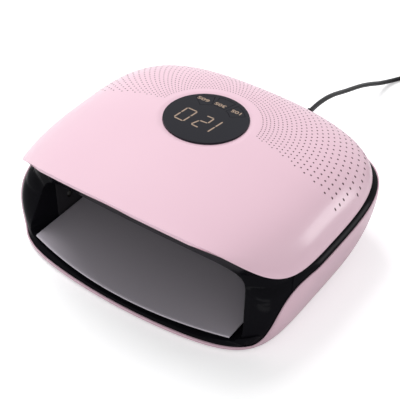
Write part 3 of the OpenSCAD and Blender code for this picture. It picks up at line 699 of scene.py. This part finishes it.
def plastic(name, base, other, rough, height=0.01, grain=900.0, drift=12.0, **shader):
    """Moulded plastic with a slow drift of tint and a fine grain. rough is its least and most."""
    material, tree, main = new_material(name, **shader)
    tint = add_effect(tree, drift_group, Base=base, Other=other, Scale=drift)
    skin = add_effect(tree, grain_group, Scale=grain, Height=height, Smoothest=rough[0],
                      Roughest=rough[1])
    feed(main, tint.outputs["Colour"], skin)
    return material


def pearl(name, base, lift):
    """Pearl lacquer: pink plastic under a clear coat."""
    return plastic(name, base, shaded(base, lift), rough=(0.3, 0.38), height=0.02, grain=2600.0,
                   drift=9.0, Coat_Weight=0.35, Coat_Roughness=0.16, Coat_IOR=1.5,
                   Specular_IOR_Level=0.3)


def metal(name, base, other, rough, height=0.05, share=1.0):
    """Metal, or a paint with a share of metal, with brushed lines."""
    material, tree, main = new_material(name, Metallic=share)
    tint = add_effect(tree, drift_group, Base=base, Other=other, Scale=8.0)
    skin = add_effect(tree, brushed_group, Height=height, Smoothest=rough[0], Roughest=rough[1])
    feed(main, tint.outputs["Colour"], skin)
    return material


def board_paint(name, base, other, lines):
    """Printed board: lacquer with fine tracks just showing through."""
    material, tree, main = new_material(name, Specular_IOR_Level=0.4)
    brick = add_node(tree, "TexBrick", {
        "Vector": object_place(tree), "Scale": 120.0, "Mortar Size": 0.06,
        "Color1": base, "Color2": other, "Mortar": lines})
    skin = add_effect(tree, grain_group, Scale=1500.0, Height=0.03, Smoothest=0.3, Roughest=0.42)
    feed(main, brick.outputs["Color"], skin)
    return material


def shaded(colour, factor):
    """A colour made lighter or darker."""
    return tuple(channel * factor for channel in colour)


# Studio
CAMERA_PLACE = (330.29, -454.03, 512.88)  # in millimetres, from the fit to the photo's outlines
CAMERA_SHIFT = (-0.00125, 0.00125)
# Setting, place, target and size in metres, and whether gloss shows the lamp
LAMPS = [
    ("key", (-0.75, 0.35, 1.25), (0.0, 0.0, 0.05), (0.9, 0.9), False),
    ("strip", (0.95, 0.78, 0.17), (0.1, 0.0, 0.06), (0.35, 0.4), True),
    ("front", (0.35, -1.0, 0.3), (0.05, -0.05, 0.03), (0.9, 0.3), True),
]


class NAILLAMP_OT_studio(bpy.types.Operator):
    """Sets up the camera, the floor, the sky and the lamps."""

    bl_idname = "nail_lamp.studio"
    bl_label = "Studio"

    def execute(self, context):
        studio = settings("studio")
        turn, rise = studio.azimuth, studio.elevation
        level = math.cos(rise)
        ahead = Vector((-math.sin(turn) * level, math.cos(turn) * level, -math.sin(rise)))
        right = Vector((math.cos(turn), math.sin(turn), 0))
        look = Matrix((right, right.cross(ahead), -ahead)).transposed().to_4x4()
        camera = added("camera", bpy.ops.object.camera_add)
        camera.matrix_world = Matrix.Translation(Vector(CAMERA_PLACE) * MM) @ look
        camera.data.lens = studio.lens
        camera.data.sensor_width = 36
        camera.data.shift_x, camera.data.shift_y = CAMERA_SHIFT
        camera.data.clip_start, camera.data.clip_end = 0.01, 20
        context.scene.camera = camera

        floor = added("floor", bpy.ops.mesh.primitive_plane_add, size=8)
        floor.data.materials.append(self.floor_paint())
        self.sky(context.scene, studio.sky)
        for name, place, target, size, in_gloss in LAMPS:
            lamp = added(name + "_lamp", bpy.ops.object.light_add, type="AREA", location=place)
            lamp.data.shape = "RECTANGLE"
            lamp.data.size, lamp.data.size_y = size
            lamp.data.energy = getattr(studio, name)
            lamp.visible_glossy = in_gloss
            aim = (Vector(target) - Vector(place)).to_track_quat("-Z", "Y")
            lamp.rotation_euler = aim.to_euler()
        context.scene.view_settings.view_transform = "Standard"
        return {"FINISHED"}

    @staticmethod
    def floor_paint():
        """Pale floor that keeps a soft shadow and fades into the white behind it."""
        glow = 0.42
        material, tree, main = new_material("Studio floor", Roughness=0.9, Specular_IOR_Level=0.0,
                                            Emission_Color=(1, 1, 1))
        tint = add_effect(tree, drift_group, Base=(0.86, 0.86, 0.87), Other=(0.84, 0.84, 0.85),
                          Scale=3.0)
        camera_ray = add_node(tree, "LightPath").outputs["Is Camera Ray"]
        seen = add_node(tree, "Math", {0: camera_ray, 1: glow}, operation="MULTIPLY")
        fill(main, {"Base Color": tint.outputs["Colour"],
                    "Emission Strength": seen.outputs["Value"]})
        return material

    @staticmethod
    def sky(scene, level):
        """Even light, with plain white for what the camera, gloss and glass see."""
        world = bpy.data.worlds.new("Studio sky")
        scene.world = world
        world.use_nodes = True
        tree = world.node_tree
        rays = add_node(tree, "LightPath").outputs
        white = rays["Is Camera Ray"]
        for ray in ("Is Glossy Ray", "Is Transmission Ray"):
            either = add_node(tree, "Math", {0: white, 1: rays[ray]}, operation="MAXIMUM")
            white = either.outputs["Value"]
        strength = add_node(tree, "MapRange", {"Value": white, "To Min": level, "To Max": 1.0})
        fill(tree.nodes["Background"], {"Color": (1, 1, 1), "Strength": strength.outputs["Result"]})


# Lead
LEAD_ROUTE = [
    (20, 125, 42.9), (20, 132, 42), (20, 140, 40.3), (20, 149, 37.5), (20, 158, 34),
    (20, 167, 30.4), (20, 176, 27), (20, 185, 23.6), (20.1, 194, 20), (20.3, 203, 16),
    (20.7, 212, 11.8), (21.5, 221, 7.6), (22.9, 229.5, 4.4), (25.2, 237.5, 2.4), (28.3, 244, 1.8),
    (32.4, 250.4, 1.8), (37, 256.5, 2.2),
]
# Where the coil starts, its first angle in degrees, and the mean radius of its turns
COIL_START, COIL_FIRST, COIL_MEAN_R = (49.0, 269.5), 135, 21.8
# The adapter's thickness, its relief, and the lead's last run before and inside it
ADAPTER_T, ADAPTER_RELIEF, TAIL, IN_ADAPTER = 28.0, 20.0, 30.0, 8


def coil_line():
    """Middle line of the lead's coil: inward along the table, then outward on top of itself."""
    lead, steps, gap, lift, climb = settings("lead"), 24, 0.6, 1.0, 0.5
    pitch, start_z = lead.diameter + gap, lead.diameter / 2 + lift
    turns = lead.loops + (COIL_FIRST - 90) / 360
    outer = COIL_MEAN_R + pitch * turns / 4
    first = math.radians(COIL_FIRST)
    middle = Vector(COIL_START) - outer * Vector((math.cos(first), math.sin(first)))
    line = []
    for k in range(int(turns * steps) + 1):
        f = k / steps
        a = math.radians(COIL_FIRST - 360 * f)
        radius = outer - pitch * min(f, turns - f)
        z = start_z + pitch * smooth((f - turns / 2) / climb + 0.5)
        line.append(Vector((middle.x + radius * math.cos(a), middle.y + radius * math.sin(a), z)))
    return line


def lead_line():
    """The whole route of the lead, from the strain relief on into the adapter, in millimetres."""
    diameter = settings("lead").diameter
    root = INLET + Vector((0, node_edge("plug_relief", 1), 0))
    coil = coil_line()
    in_way = Matrix.Rotation(math.radians(COIL_FIRST - 90), 3, "Z") @ Vector((1, 0, 0))
    end, height, run = coil[-1], ADAPTER_T / 2, TAIL - 2 * diameter
    tail = [end + Vector((diameter + run * k / 4, 0, (height - end.z) * smooth(k / 4)))
            for k in range(5)]
    tail += [Vector((end.x + TAIL + more, end.y, height))
             for more in (0, ADAPTER_RELIEF + IN_ADAPTER)]
    return ([root, root + Vector((0, diameter, 0))] + [Vector(p) for p in LEAD_ROUTE]
            + [coil[0] - 2 * diameter * in_way, coil[0] - diameter * in_way] + coil + tail)


def ribbed(length, wide, narrow, ribs):
    """Profile of a ribbed strain relief, as radius and height."""
    edge, depth, slope = 0.3, 0.5, 0.15
    profile = [(0, 0), (wide - edge, 0), (wide, edge)]
    for k in range(ribs):
        low, high = (length * (k + part) / (ribs + 0.3) for part in (0.3, 0.75))
        radius = mix(wide, narrow, (k + 0.5) / ribs)
        profile += [(radius, low), (radius - depth, low + slope), (radius - depth, high),
                    (radius - 0.1, high + slope)]
    return profile + [(narrow, length - 0.4), (narrow - edge, length), (0, length)]


class NAILLAMP_OT_lead(bpy.types.Operator):
    """Makes the lead, its strain reliefs and the power adapter."""

    bl_idname = "nail_lamp.lead"
    bl_label = "Lead and adapter"

    def execute(self, context):
        lead = settings("lead")
        rubber = plastic("Lead rubber", lead.black, shaded(lead.black, 2.2), rough=(0.3, 0.42),
                         height=0.06, grain=1400.0, Specular_IOR_Level=0.35)
        line = lead_line()
        cord = self.cord(line, lead.diameter)
        context.scene.collection.objects.link(cord)
        finished(cord, rubber, "lead", "lead_black", "lead_run", "lead_coil")

        relief_low = node_edge("plug_relief", 1, False)
        at_plug = (Matrix.Translation(INLET + Vector((0, relief_low, 0)))
                   @ Matrix.Rotation(-math.pi / 2, 4, "X"))
        relief = self.boot("plug_boot", ribbed(node_size("plug_relief", 1), 3.6, 2.6, 4), at_plug)
        finished(relief, rubber, "lead", "lead_black", "plug_relief")
        at_adapter = Matrix.Translation(line[-2]) @ Matrix.Rotation(math.pi / 2, 4, "Y")
        profile = ribbed(ADAPTER_RELIEF, 4, lead.diameter / 2 + 0.7, 5)
        profile = [(radius, ADAPTER_RELIEF - height) for radius, height in reversed(profile)]
        boot = self.boot("adapter_boot", profile, at_adapter)
        finished(boot, rubber, "lead", "lead_black", "adapter_relief")
        adapter = self.adapter()
        dress(rubber, "dc_plug")
        dress(plastic("Tie", (0.05, 0.05, 0.055), (0.035, 0.035, 0.04),
                      rough=(0.5, 0.6), height=0.2, grain=2500.0), "coil_tie")
        dress(metal("Pin metal", (0.75, 0.68, 0.5), (0.7, 0.64, 0.5),
                    rough=(0.2, 0.35)), "adapter_pins")
        return {"FINISHED"}

    @staticmethod
    def cord(line, diameter):
        """The lead as one smooth open curve through the points of its line."""
        curve = bpy.data.curves.new("lead", "CURVE")
        curve.dimensions = "3D"
        spline = curve.splines.new("BEZIER")
        spline.bezier_points.add(len(line) - 1)
        for point, place in zip(spline.bezier_points, line):
            point.co = place * MM
            point.handle_left_type = point.handle_right_type = "AUTO"
        curve.resolution_u = 4
        curve.bevel_depth = diameter / 2 * MM
        curve.bevel_resolution = 3
        return bpy.data.objects.new("lead", curve)

    @staticmethod
    def boot(name, profile, matrix):
        """A strain relief."""
        boot = turned(name, profile, matrix)
        shade(boot, angle=30)
        return boot

    @staticmethod
    def adapter():
        """The adapter's case: rounded, with a parting groove round its middle."""
        groove_at, half_groove, depth, sink_edge = -0.55, 0.5 * MM, 0.5 * MM, 0.15 * MM
        low, high = (p * MM for p in node_box("power_adapter"))
        middle, half = (low + high) / 2, (high - low) / 2
        groove = middle.x + half.x * groove_at
        case = added("adapter_case", bpy.ops.mesh.primitive_cube_add, size=2)
        for vertex in case.data.vertices:
            vertex.co = Vector(middle[k] + vertex.co[k] * half[k] for k in range(3))
        with editing(case):
            for place in (groove - half_groove, groove + half_groove):
                bpy.ops.mesh.select_all(action="SELECT")
                bpy.ops.mesh.bisect(plane_co=(place, 0, 0), plane_no=(1, 0, 0))
        mesh = bmesh.new()
        mesh.from_mesh(case.data)
        strip = [f for f in mesh.faces
                 if abs(f.calc_center_median().x - groove) < half_groove and abs(f.normal.x) < 0.1]
        bmesh.ops.inset_region(mesh, faces=strip, thickness=sink_edge, depth=-depth)
        mesh.to_mesh(case.data)
        mesh.free()
        bevelled(case, width=2.2, segments=4, angle=60)
        shade(case, angle=40)
        paint = plastic("Adapter plastic", (0.014, 0.014, 0.016), (0.02, 0.02, 0.023),
                        rough=(0.42, 0.55), height=0.12, grain=1800.0)
        return finished(case, paint, "lead", "adapter_black", "power_adapter")


# Cover
HALF_GLASS, SEAT_GAP = 1.2, 0.2  # half the window's thickness, and the gap round it


def window_matrix():
    """From the window's own millimetres to the lamp's."""
    middle = (WINDOW_LOW + WINDOW_HIGH) / 2
    tilt = settings("display").tilt
    y, top = middle.y + HALF_GLASS * math.sin(tilt), WINDOW_HIGH.z - WINDOW_R * math.sin(tilt)
    return Matrix.Translation((0, y, top)) @ Matrix.Rotation(-tilt, 4, "X")


def dished(x, y):
    """Height of the cover above x and y, with the dip round the window."""
    cover = settings("cover")
    t, f = cover_spot(x, y)
    away = math.hypot(x, y - window_matrix().translation.y) - WINDOW_R
    return cover_point(t, min(1, f)).z - cover.dish * (1 - smooth(away / cover.dish_w))


def vent_places():
    """Where the vents are, with the radius of each. Outer rings reach further round."""
    inner_start, outer_start, widest_at, edge_share = 3.5, -2.5, 0.6, 0.975
    vents, cover = settings("vents"), settings("cover")
    middle, spoke = window_matrix().translation, math.degrees(vents.spoke)
    places = []
    for k in range(vents.rings):
        reach = vents.first + vents.step * k + vents.growth * k * k / 2
        start = mix(inner_start, outer_start, smooth(k / max(1, vents.rings - 1) / widest_at))
        count = int((90 - start) / spoke + 0.5)
        for j in range(-count, count + 1):
            a = 90 + (j + (0.5 if k % 2 else 0)) * spoke
            if not start <= a <= 180 - start:
                continue
            x = reach * math.cos(math.radians(a))
            y = middle.y + reach * math.sin(math.radians(a))
            t, f = cover_spot(x, y)
            if f < edge_share and y < COVER_Y + cover.rear - vents.margin:
                radius = vents.hole / 2 + vents.hole_growth / 2 * (reach - vents.first)
                places.append((x, y, radius))
    return places


class NAILLAMP_OT_cover(bpy.types.Operator):
    """Makes the domed cover with its dip, the hole for the window and the vents."""

    bl_idname = "nail_lamp.cover"
    bl_label = "Cover"

    def execute(self, context):
        cover = settings("cover")

        def place(u, v):
            reach = max(abs(u), abs(v))
            if reach < NEAR_ZERO:
                return Vector((0, COVER_Y, cover.crown))
            return cover_point(angle_towards(u, v, *COVER_N), math.sin(math.pi / 2 * reach))

        piece = grid_piece("cover", cover.cells, cover.cells, place)
        face_out(piece, (0, 0, 1))
        self.dip(piece)
        walled(piece, cover.wall, edge=0.3)
        shade(piece, angle=50)
        whole = piece.copy()
        whole.data = piece.data.copy()
        context.scene.collection.objects.link(whole)
        seat = rod("seat_cutter", WINDOW_R + SEAT_GAP, low=-8, high=5, sides=128)
        seat.data.transform(Matrix.Scale(MM, 4) @ window_matrix() @ Matrix.Scale(1 / MM, 4))
        cut(piece, seat)
        cut(piece, self.vent_cutter())
        applied(piece, "DATA_TRANSFER", object=whole, use_loop_data=True,
                data_types_loops={"CUSTOM_NORMAL"}, loop_mapping="POLYINTERP_NEAREST")
        bpy.data.objects.remove(whole)
        paint = pearl("Pearl pink", settings("shell").pink, 0.93)
        finished(piece, paint, "lamp", "pink_gloss", "top_cover")
        # Second material: a dark pink on the vent walls, painted shade for the shade inside the
        # holes
        piece.data.materials.append(plastic(
            "Vent wall", (0.16, 0.075, 0.09), (0.10, 0.045, 0.055), rough=(0.6, 0.75),
            height=0.1))
        self.paint_vent_shade(piece)
        return {"FINISHED"}

    @staticmethod
    def dip(piece):
        """Splits the cells round the window finer and lets them dip."""
        split_more, dip_more = 3, 4
        middle = window_matrix().translation
        reach = settings("cover").dish_w + split_more
        with editing(piece):
            mesh = bmesh.from_edit_mesh(piece.data)
            for face in mesh.faces:
                spot = face.calc_center_median() / MM
                face.select = abs(math.hypot(spot.x, spot.y - middle.y) - WINDOW_R) < reach
            mesh.select_flush_mode()
            bmesh.update_edit_mesh(piece.data)
            bpy.ops.mesh.subdivide(number_cuts=2)
        for vertex in piece.data.vertices:
            x, y = vertex.co.x / MM, vertex.co.y / MM
            if math.hypot(x, y - middle.y) < WINDOW_R + reach + dip_more:
                vertex.co.z = dished(x, y) * MM

    @staticmethod
    def vent_cutter():
        """All vent holes as one mesh of small upright prisms."""
        above, below = 4, 6
        cutter = rod("vent_cutter", 1, low=-1, high=1, sides=8)
        prism = cutter.data.copy()
        mesh = bmesh.new()
        for x, y, radius in vent_places():
            skin_z = cover_point(*cover_spot(x, y)).z
            start = len(mesh.verts)
            mesh.from_mesh(prism)
            mesh.verts.ensure_lookup_table()
            for vertex in mesh.verts[start:]:
                vertex.co.x = x * MM + vertex.co.x * radius
                vertex.co.y = y * MM + vertex.co.y * radius
                vertex.co.z = (skin_z + (above if vertex.co.z > 0 else -below)) * MM
        mesh.to_mesh(cutter.data)
        mesh.free()
        bpy.data.meshes.remove(prism)
        return cutter

    @staticmethod
    def paint_vent_shade(piece):
        """Paints the walls of the vents dark: painted shade for the shade inside the holes."""
        cell, steep, largest, slack = 4, 0.3, 6e-6, 0.05
        spots = {}
        for x, y, radius in vent_places():
            spots.setdefault((round(x / cell), round(y / cell)), []).append((x, y, radius))
        for face in piece.data.polygons:
            if abs(face.normal.z) > steep or face.area > largest:
                continue
            x, y = face.center.x / MM, face.center.y / MM
            column, row = round(x / cell), round(y / cell)
            near = (spot for i in (-1, 0, 1) for j in (-1, 0, 1)
                    for spot in spots.get((column + i, row + j), ()))
            if any(math.hypot(x - vent_x, y - vent_y) < radius + slack
                   for vent_x, vent_y, radius in near):
                face.material_index = 1


# Display, drawn in the window's own millimetres
DIGIT_LINES = [
    [(-17.0, -12.0), (-16.5, -5.0), (-16.0, 2.0), (-8.2, 1.9), (-8.85, -5.3), (-9.5, -12.5),
     (-17.0, -12.0)],
    [(-0.8, 1.8), (5.0, 2.1), (4.6, -4.7), (-1.5, -5.3), (-3.5, -12.0), (2.5, -12.3)],
    [(11.5, 2.6), (10.7, -5.1), (9.9, -12.8)],
]
# Words, key, middle and width
LEGENDS = [("60S", "key_60s", (-13.85, 16.6), 9.0), ("30S", "key_30s", (-1.1, 17.6), 8.3),
           ("10S", "key_10s", (12.0, 17.0), 7.3)]
INK_TOP, INK_LOW = 0.04, -0.02  # from just above the glass to just inside it


class NAILLAMP_OT_display(bpy.types.Operator):
    """Dresses the window and its keys, and lays the digits and the legends on them."""

    bl_idname = "nail_lamp.display"
    bl_label = "Display"

    def execute(self, context):
        display = settings("display")
        glass = plastic("Window black", (0.012, 0.012, 0.017), (0.016, 0.016, 0.022),
                        rough=(0.08, 0.14), height=0.004, Specular_IOR_Level=0.12)
        dress(glass, "display_window", "key_10s", "key_30s", "key_60s")
        gold = plastic("Digit gold", display.gold, shaded(display.gold, 0.8),
                       rough=(0.35, 0.5), height=0.02)
        strokes = [self.stroke(Vector(a), Vector(b), display.stroke)
                   for line in DIGIT_LINES for a, b in zip(line, line[1:])]
        self.lay(joined("digits", strokes), gold, "lamp")
        for words, key, spot, width in LEGENDS:
            self.lay(self.legend(words, spot, width, display.legend), gold, key)
        return {"FINISHED"}

    @staticmethod
    def lay(piece, gold, body):
        """Puts a piece that was drawn in the window's millimetres in its place."""
        piece.data.transform(Matrix.Scale(MM, 4) @ window_matrix())
        finished(piece, gold, body, "digit_white")

    @staticmethod
    def stroke(a, b, width):
        """One stroke of a digit: a flat bar with pointed ends."""
        tip_back, side_back = 0.25 * width, 0.75 * width
        along = (b - a).normalized()
        across = Vector((-along.y, along.x))
        bar = added("stroke", bpy.ops.mesh.primitive_cylinder_add, vertices=6, radius=1, depth=2)
        for vertex in bar.data.vertices:
            x, y, z = vertex.co
            at_tip = abs(y) > 0.9
            spot = (b if y > 0 else a) - along * math.copysign(tip_back if at_tip else side_back, y)
            if not at_tip:
                spot = spot + across * math.copysign(width / 2, x)
            vertex.co = (spot.x, spot.y, INK_TOP if z > 0 else INK_LOW)
        with editing(bar):
            bpy.ops.mesh.normals_make_consistent(inside=False)
        return bar

    @staticmethod
    def legend(words, spot, width, height):
        """A key's legend, which reads upright from behind the lamp."""
        text = added("legend_" + words.lower(), bpy.ops.object.text_add)
        text.data.body = words
        text.data.extrude = 0.03
        text.data.size = 1
        text.data.resolution_u = 4
        text.data.offset = 0.02
        bpy.ops.object.convert(target="MESH")
        piece = bpy.context.object
        piece.data.name = piece.name
        places = [vertex.co.copy() for vertex in piece.data.vertices]
        low, high = (Vector(end(p[k] for p in places) for k in range(3)) for end in (min, max))
        middle = (low + high) / 2
        tall, wide = height / (high.y - low.y), width / (high.x - low.x)
        for vertex in piece.data.vertices:
            x, y, z = vertex.co
            vertex.co = (spot[0] - (x - middle.x) * wide, spot[1] - (y - middle.y) * tall,
                         INK_TOP if z > 0 else INK_LOW)
        with editing(piece):
            bpy.ops.mesh.remove_doubles(threshold=0.0001)
            bpy.ops.mesh.normals_make_consistent(inside=False)
        return piece


# Frame and band
class NAILLAMP_OT_frame(bpy.types.Operator):
    """Makes the black frame of the opening and the band that goes on from it round the lamp."""

    bl_idname = "nail_lamp.frame"
    bl_label = "Frame and band"

    def execute(self, context):
        sizes = settings("frame")
        paint = plastic("Gloss black", sizes.black, shaded(sizes.black, 1.3),
                        rough=(0.13, 0.2), height=0.006, Specular_IOR_Level=0.03)
        finished(self.front(sizes), paint, "lamp", "frame_black", "front_frame")
        finished(self.band(sizes), paint, "lamp", "frame_black", "side_band")
        return {"FINISHED"}

    @staticmethod
    def front(sizes):
        """The face of the opening and the tunnel behind it."""
        face_share, rows = 0.7, 20

        def place(u, v):
            i, f = abs(u) * HALF_STEPS, (v + 1) / 2
            if f <= face_share:
                p = face_point(i, f / face_share)
            else:
                uv = station_uv(i)
                p = mix(mouth_point(*uv), tunnel_point(*uv), (f - face_share) / (1 - face_share))
            return Vector((math.copysign(p.x, u), p.y, p.z))

        front = grid_piece("front_face", 2 * HALF_STEPS * sizes.fine, rows, place)
        face_out(front, (0, -1, 0))
        walled(front, sizes.wall, sizes.rim)
        for vertex in front.data.vertices:
            x, y, z = vertex.co / MM
            vertex.co.z = min(z, cover_edge_z(x, y) - COVER_GAP) * MM
        shade(front, angle=22)
        return front

    @staticmethod
    def band(sizes):
        """The band between cover and shell, which swells a little and tucks inside the shell."""
        lap, fade, foot_share, knee_up, end_swell = 1.5, 8, 0.25, 0.5, 0.06
        start = BAND_START - lap

        def place(u, v):
            d = mix(start, 360 - start, (u + 1) / 2)
            t = math.radians(d - 90)
            z = shell_edge_z(t)
            knee = in_shell(t, z)
            knee.z = z + knee_up
            f = (v + 1) / 2
            if f < foot_share:
                return mix(frame_low(t), knee, f / foot_share)
            share = (f - foot_share) / (1 - foot_share)
            out = knee.xy - Vector((0, SHELL_Y))
            end = smooth((min(d, 360 - d) - start) / fade)
            swell = out.normalized() * mix(end_swell, sizes.bulge * 4 * share * (1 - share), end)
            under = shell_point(t, SHELL_SIDE_H)
            p = mix(knee, under_cover(cover_t(under.x, under.y)), share)
            return Vector((p.x + swell.x, p.y + swell.y, p.z))

        band = grid_piece("band", columns=320, rows=16, place=place)
        face_out(band)
        walled(band, sizes.wall, edge=0.3)
        shade(band, angle=40)
        return band


# Lower shell
POSTS = [(92, -15), (-92, -15), (88, 40), (-88, 40)]
FEET = [(82, -66), (-82, -66), (76, 46), (-76, 46)]
POST_R, WELL_R, HOLE_R, FOOT_R, PLUG_R = 4.5, 3.1, 1.7, 7.1, 5.1
WELL_TOP, FOOT_DEPTH, REAR_WALL_Y = 6, 0.6, 88
SHELL_GRID_N = (4.0, 4.5)  # how square the rings of its grid are, front and rear


class NAILLAMP_OT_shell(bpy.types.Operator):
    """Makes the lower shell with its screw wells, foot recesses and the hole for the plug."""

    bl_idname = "nail_lamp.shell"
    bl_label = "Lower shell"

    def execute(self, context):
        shell = settings("shell")
        flat, crowd = 0.3, 1.6

        def place(u, v):
            reach = max(abs(u), abs(v))
            if reach < NEAR_ZERO:
                return Vector((0, SHELL_Y, FOOT_H))
            t = angle_towards(u, v, *SHELL_GRID_N)
            if reach < flat:
                rim = shell_point(t, FOOT_H)
                y = SHELL_Y + (rim.y - SHELL_Y) * reach / flat
                return Vector((rim.x * reach / flat, y, FOOT_H))
            k = (reach - flat) / (1 - flat)
            return shell_point(t, mix(FOOT_H, shell_edge_z(t), k**crowd))

        piece = grid_piece("lower_body", shell.cells, shell.cells, place)
        face_out(piece, (0, 0, -1))
        walled(piece, shell.wall, shell.edge)
        shade(piece, angle=40)
        for x, y in POSTS:
            cut(piece, rod("well_cutter", WELL_R, FOOT_H - 1, WELL_TOP, 32, x, y))
        for x, y in FEET:
            cut(piece, rod("foot_cutter", FOOT_R, FOOT_H - 1, FOOT_H + FOOT_DEPTH, 48, x, y))
        hole = rod("plug_cutter", PLUG_R, low=-20, high=20, sides=48)
        at_rear = Matrix.Translation(Vector((INLET.x, REAR_WALL_Y, INLET.z)) * MM)
        hole.data.transform(at_rear @ Matrix.Rotation(math.pi / 2, 4, "X"))
        cut(piece, hole)
        piece = joined("lower_body", [piece] + [self.post(x, y) for x, y in POSTS])
        # The shell's pink is the cover's made darker: painted shade on the shell's sides
        paint = pearl("Lower pink", shaded(shell.pink, 0.9), 0.94)
        finished(piece, paint, "lamp", "pink_gloss", "lower_shell")
        return {"FINISHED"}

    @staticmethod
    def post(x, y):
        """A screw post with its well and the narrow hole above it, kept inside the shell's skin."""
        foot, top, well_top, skin = 2.4, SHELL_SIDE_H - 0.9, 40, 0.6
        profile = [(POST_R, foot), (POST_R, top), (HOLE_R, top), (HOLE_R, well_top),
                   (WELL_R, well_top), (WELL_R, foot), (POST_R, foot)]
        post = turned("post", profile, Matrix.Translation((x, y, 0)))
        middle = Vector((0, SHELL_Y))
        for vertex in post.data.vertices:
            p = vertex.co / MM
            reach = p.xy - middle
            half_w = SHELL_BASE_HALF if p.z < 5 else node_size("lower_shell", 0) / 2
            t = angle_towards(reach.x / half_w, reach.y / half_w, *SHELL_GRID_N)
            most = (shell_point(t, p.z, skin).xy - middle).length
            if reach.length > most:
                reach *= most / reach.length
                vertex.co = Vector((reach.x, reach.y + SHELL_Y, p.z)) * MM
        shade(post, angle=30)
        return post


# Tray
class NAILLAMP_OT_tray(bpy.types.Operator):
    """Makes the metal tray and dresses its magnets."""

    bl_idname = "nail_lamp.tray"
    bl_label = "Tray"

    def execute(self, context):
        low, high = node_box("floor_tray")
        overhang, bow, corner = 2.7, 11.7, 3.0
        half = high.x + overhang

        def place(u, v):
            x = u * half
            nose = low.y + bow * u * u
            over = max(0, abs(x) - (half - corner)) / corner
            rear = high.y - corner + corner * math.sqrt(max(0, 1 - over * over))
            return Vector((x, mix(nose, rear, (v + 1) / 2), high.z))

        tray = grid_piece("tray", columns=96, rows=60, place=place)
        face_out(tray, (0, 0, 1))
        walled(tray, high.z - low.z, edge=0.35)
        shade(tray, angle=30)
        silver = metal("Tray silver", (0.64, 0.595, 0.66), (0.56, 0.52, 0.58),
                       rough=(0.38, 0.5), height=0.03, share=0.25)
        finished(tray, silver, "tray", "tray_silver", "floor_tray")
        dress(metal("Magnet metal", (0.55, 0.55, 0.57), (0.48, 0.48, 0.5),
                    rough=(0.25, 0.4)), "tray_magnets")
        return {"FINISHED"}


# What is inside and underneath
class NAILLAMP_OT_inside(bpy.types.Operator):
    """Dresses the chamber, boards, beads, screws, sensor, inlet and feet."""

    bl_idname = "nail_lamp.inside"
    bl_label = "Inside and feet"

    def execute(self, context):
        dark = plastic("Chamber dark", (0.009, 0.008, 0.010), (0.013, 0.012, 0.015),
                       rough=(0.4, 0.55), height=0.15, grain=1600.0)
        walls = [f"chamber_{side}_panel" for side in ("ceiling", "left", "right", "floor", "rear")]
        dress(dark, *walls, "window_holder")
        white = board_paint("Lamp board white", (0.74, 0.76, 0.77), (0.7, 0.72, 0.73),
                            (0.62, 0.64, 0.65))
        dress(white, "ceiling_led_board", "left_led_board", "right_led_board")
        green = board_paint("Board green", (0.016, 0.11, 0.04), (0.012, 0.09, 0.035),
                            (0.03, 0.17, 0.07))
        dress(green, "control_board", "power_board")
        # The bead lenses are painted nearly black: painted shade for the dark inside the chamber
        bead = plastic("Bead lens", (0.05, 0.047, 0.036), (0.04, 0.038, 0.03),
                       rough=(0.08, 0.16), Coat_Weight=0.8, Coat_Roughness=0.03)
        dress(bead, "ceiling_beads", "left_beads", "right_beads")
        steel = metal("Screw steel", (0.6, 0.6, 0.62), (0.5, 0.5, 0.53), rough=(0.25, 0.45),
                      height=0.1)
        dress(steel, "board_screws", "holder_screws", "case_screws", "key_switches")
        sensor = plastic("Sensor dark", (0.05, 0.012, 0.022), (0.035, 0.01, 0.018),
                         rough=(0.1, 0.2), Coat_Weight=0.5)
        dress(sensor, "hand_sensor")
        cream = plastic("Module cream", (0.72, 0.68, 0.60), (0.66, 0.62, 0.55),
                        rough=(0.45, 0.6), height=0.1)
        dress(cream, "digit_module")
        part = plastic("Part dark", (0.03, 0.03, 0.06), (0.02, 0.02, 0.03),
                       rough=(0.3, 0.5), height=0.1)
        dress(part, "power_parts", "dc_jack")
        foot = plastic("Foot rubber", (0.03, 0.03, 0.032), (0.045, 0.045, 0.047),
                       rough=(0.75, 0.9), height=0.4, grain=1200.0)
        dress(foot, "rubber_feet")
        return {"FINISHED"}


class NAILLAMP_PT_panel(bpy.types.Panel):
    """Lists the pieces of the nail lamp and their settings."""

    bl_label = "Nail lamp"
    bl_idname = "NAILLAMP_PT_panel"
    bl_space_type = "VIEW_3D"
    bl_region_type = "UI"
    bl_category = "Nail lamp"

    def draw(self, context):
        layout = self.layout
        for operator in OPERATORS:
            layout.operator(operator.bl_idname)
        for group in GROUPS:
            box = layout.box()
            box.label(text=group.replace("lamp_", "").capitalize())
            values = getattr(context.scene, group)
            for name in values.__annotations__:
                box.prop(values, name)


OPERATORS = [NAILLAMP_OT_studio, NAILLAMP_OT_lead, NAILLAMP_OT_cover, NAILLAMP_OT_display,
             NAILLAMP_OT_frame, NAILLAMP_OT_shell, NAILLAMP_OT_tray, NAILLAMP_OT_inside]


def register():
    for kind in [*GROUPS.values(), *OPERATORS, NAILLAMP_PT_panel]:
        bpy.utils.register_class(kind)
    for name, kind in GROUPS.items():
        setattr(bpy.types.Scene, name, PointerProperty(type=kind))


def unregister():
    for name in GROUPS:
        delattr(bpy.types.Scene, name)
    for kind in reversed([*GROUPS.values(), *OPERATORS, NAILLAMP_PT_panel]):
        bpy.utils.unregister_class(kind)


def main():
    register()
    for operator in OPERATORS:
        group, name = operator.bl_idname.split(".")
        getattr(getattr(bpy.ops, group), name)()
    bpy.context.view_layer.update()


if __name__ == "__main__":
    main()
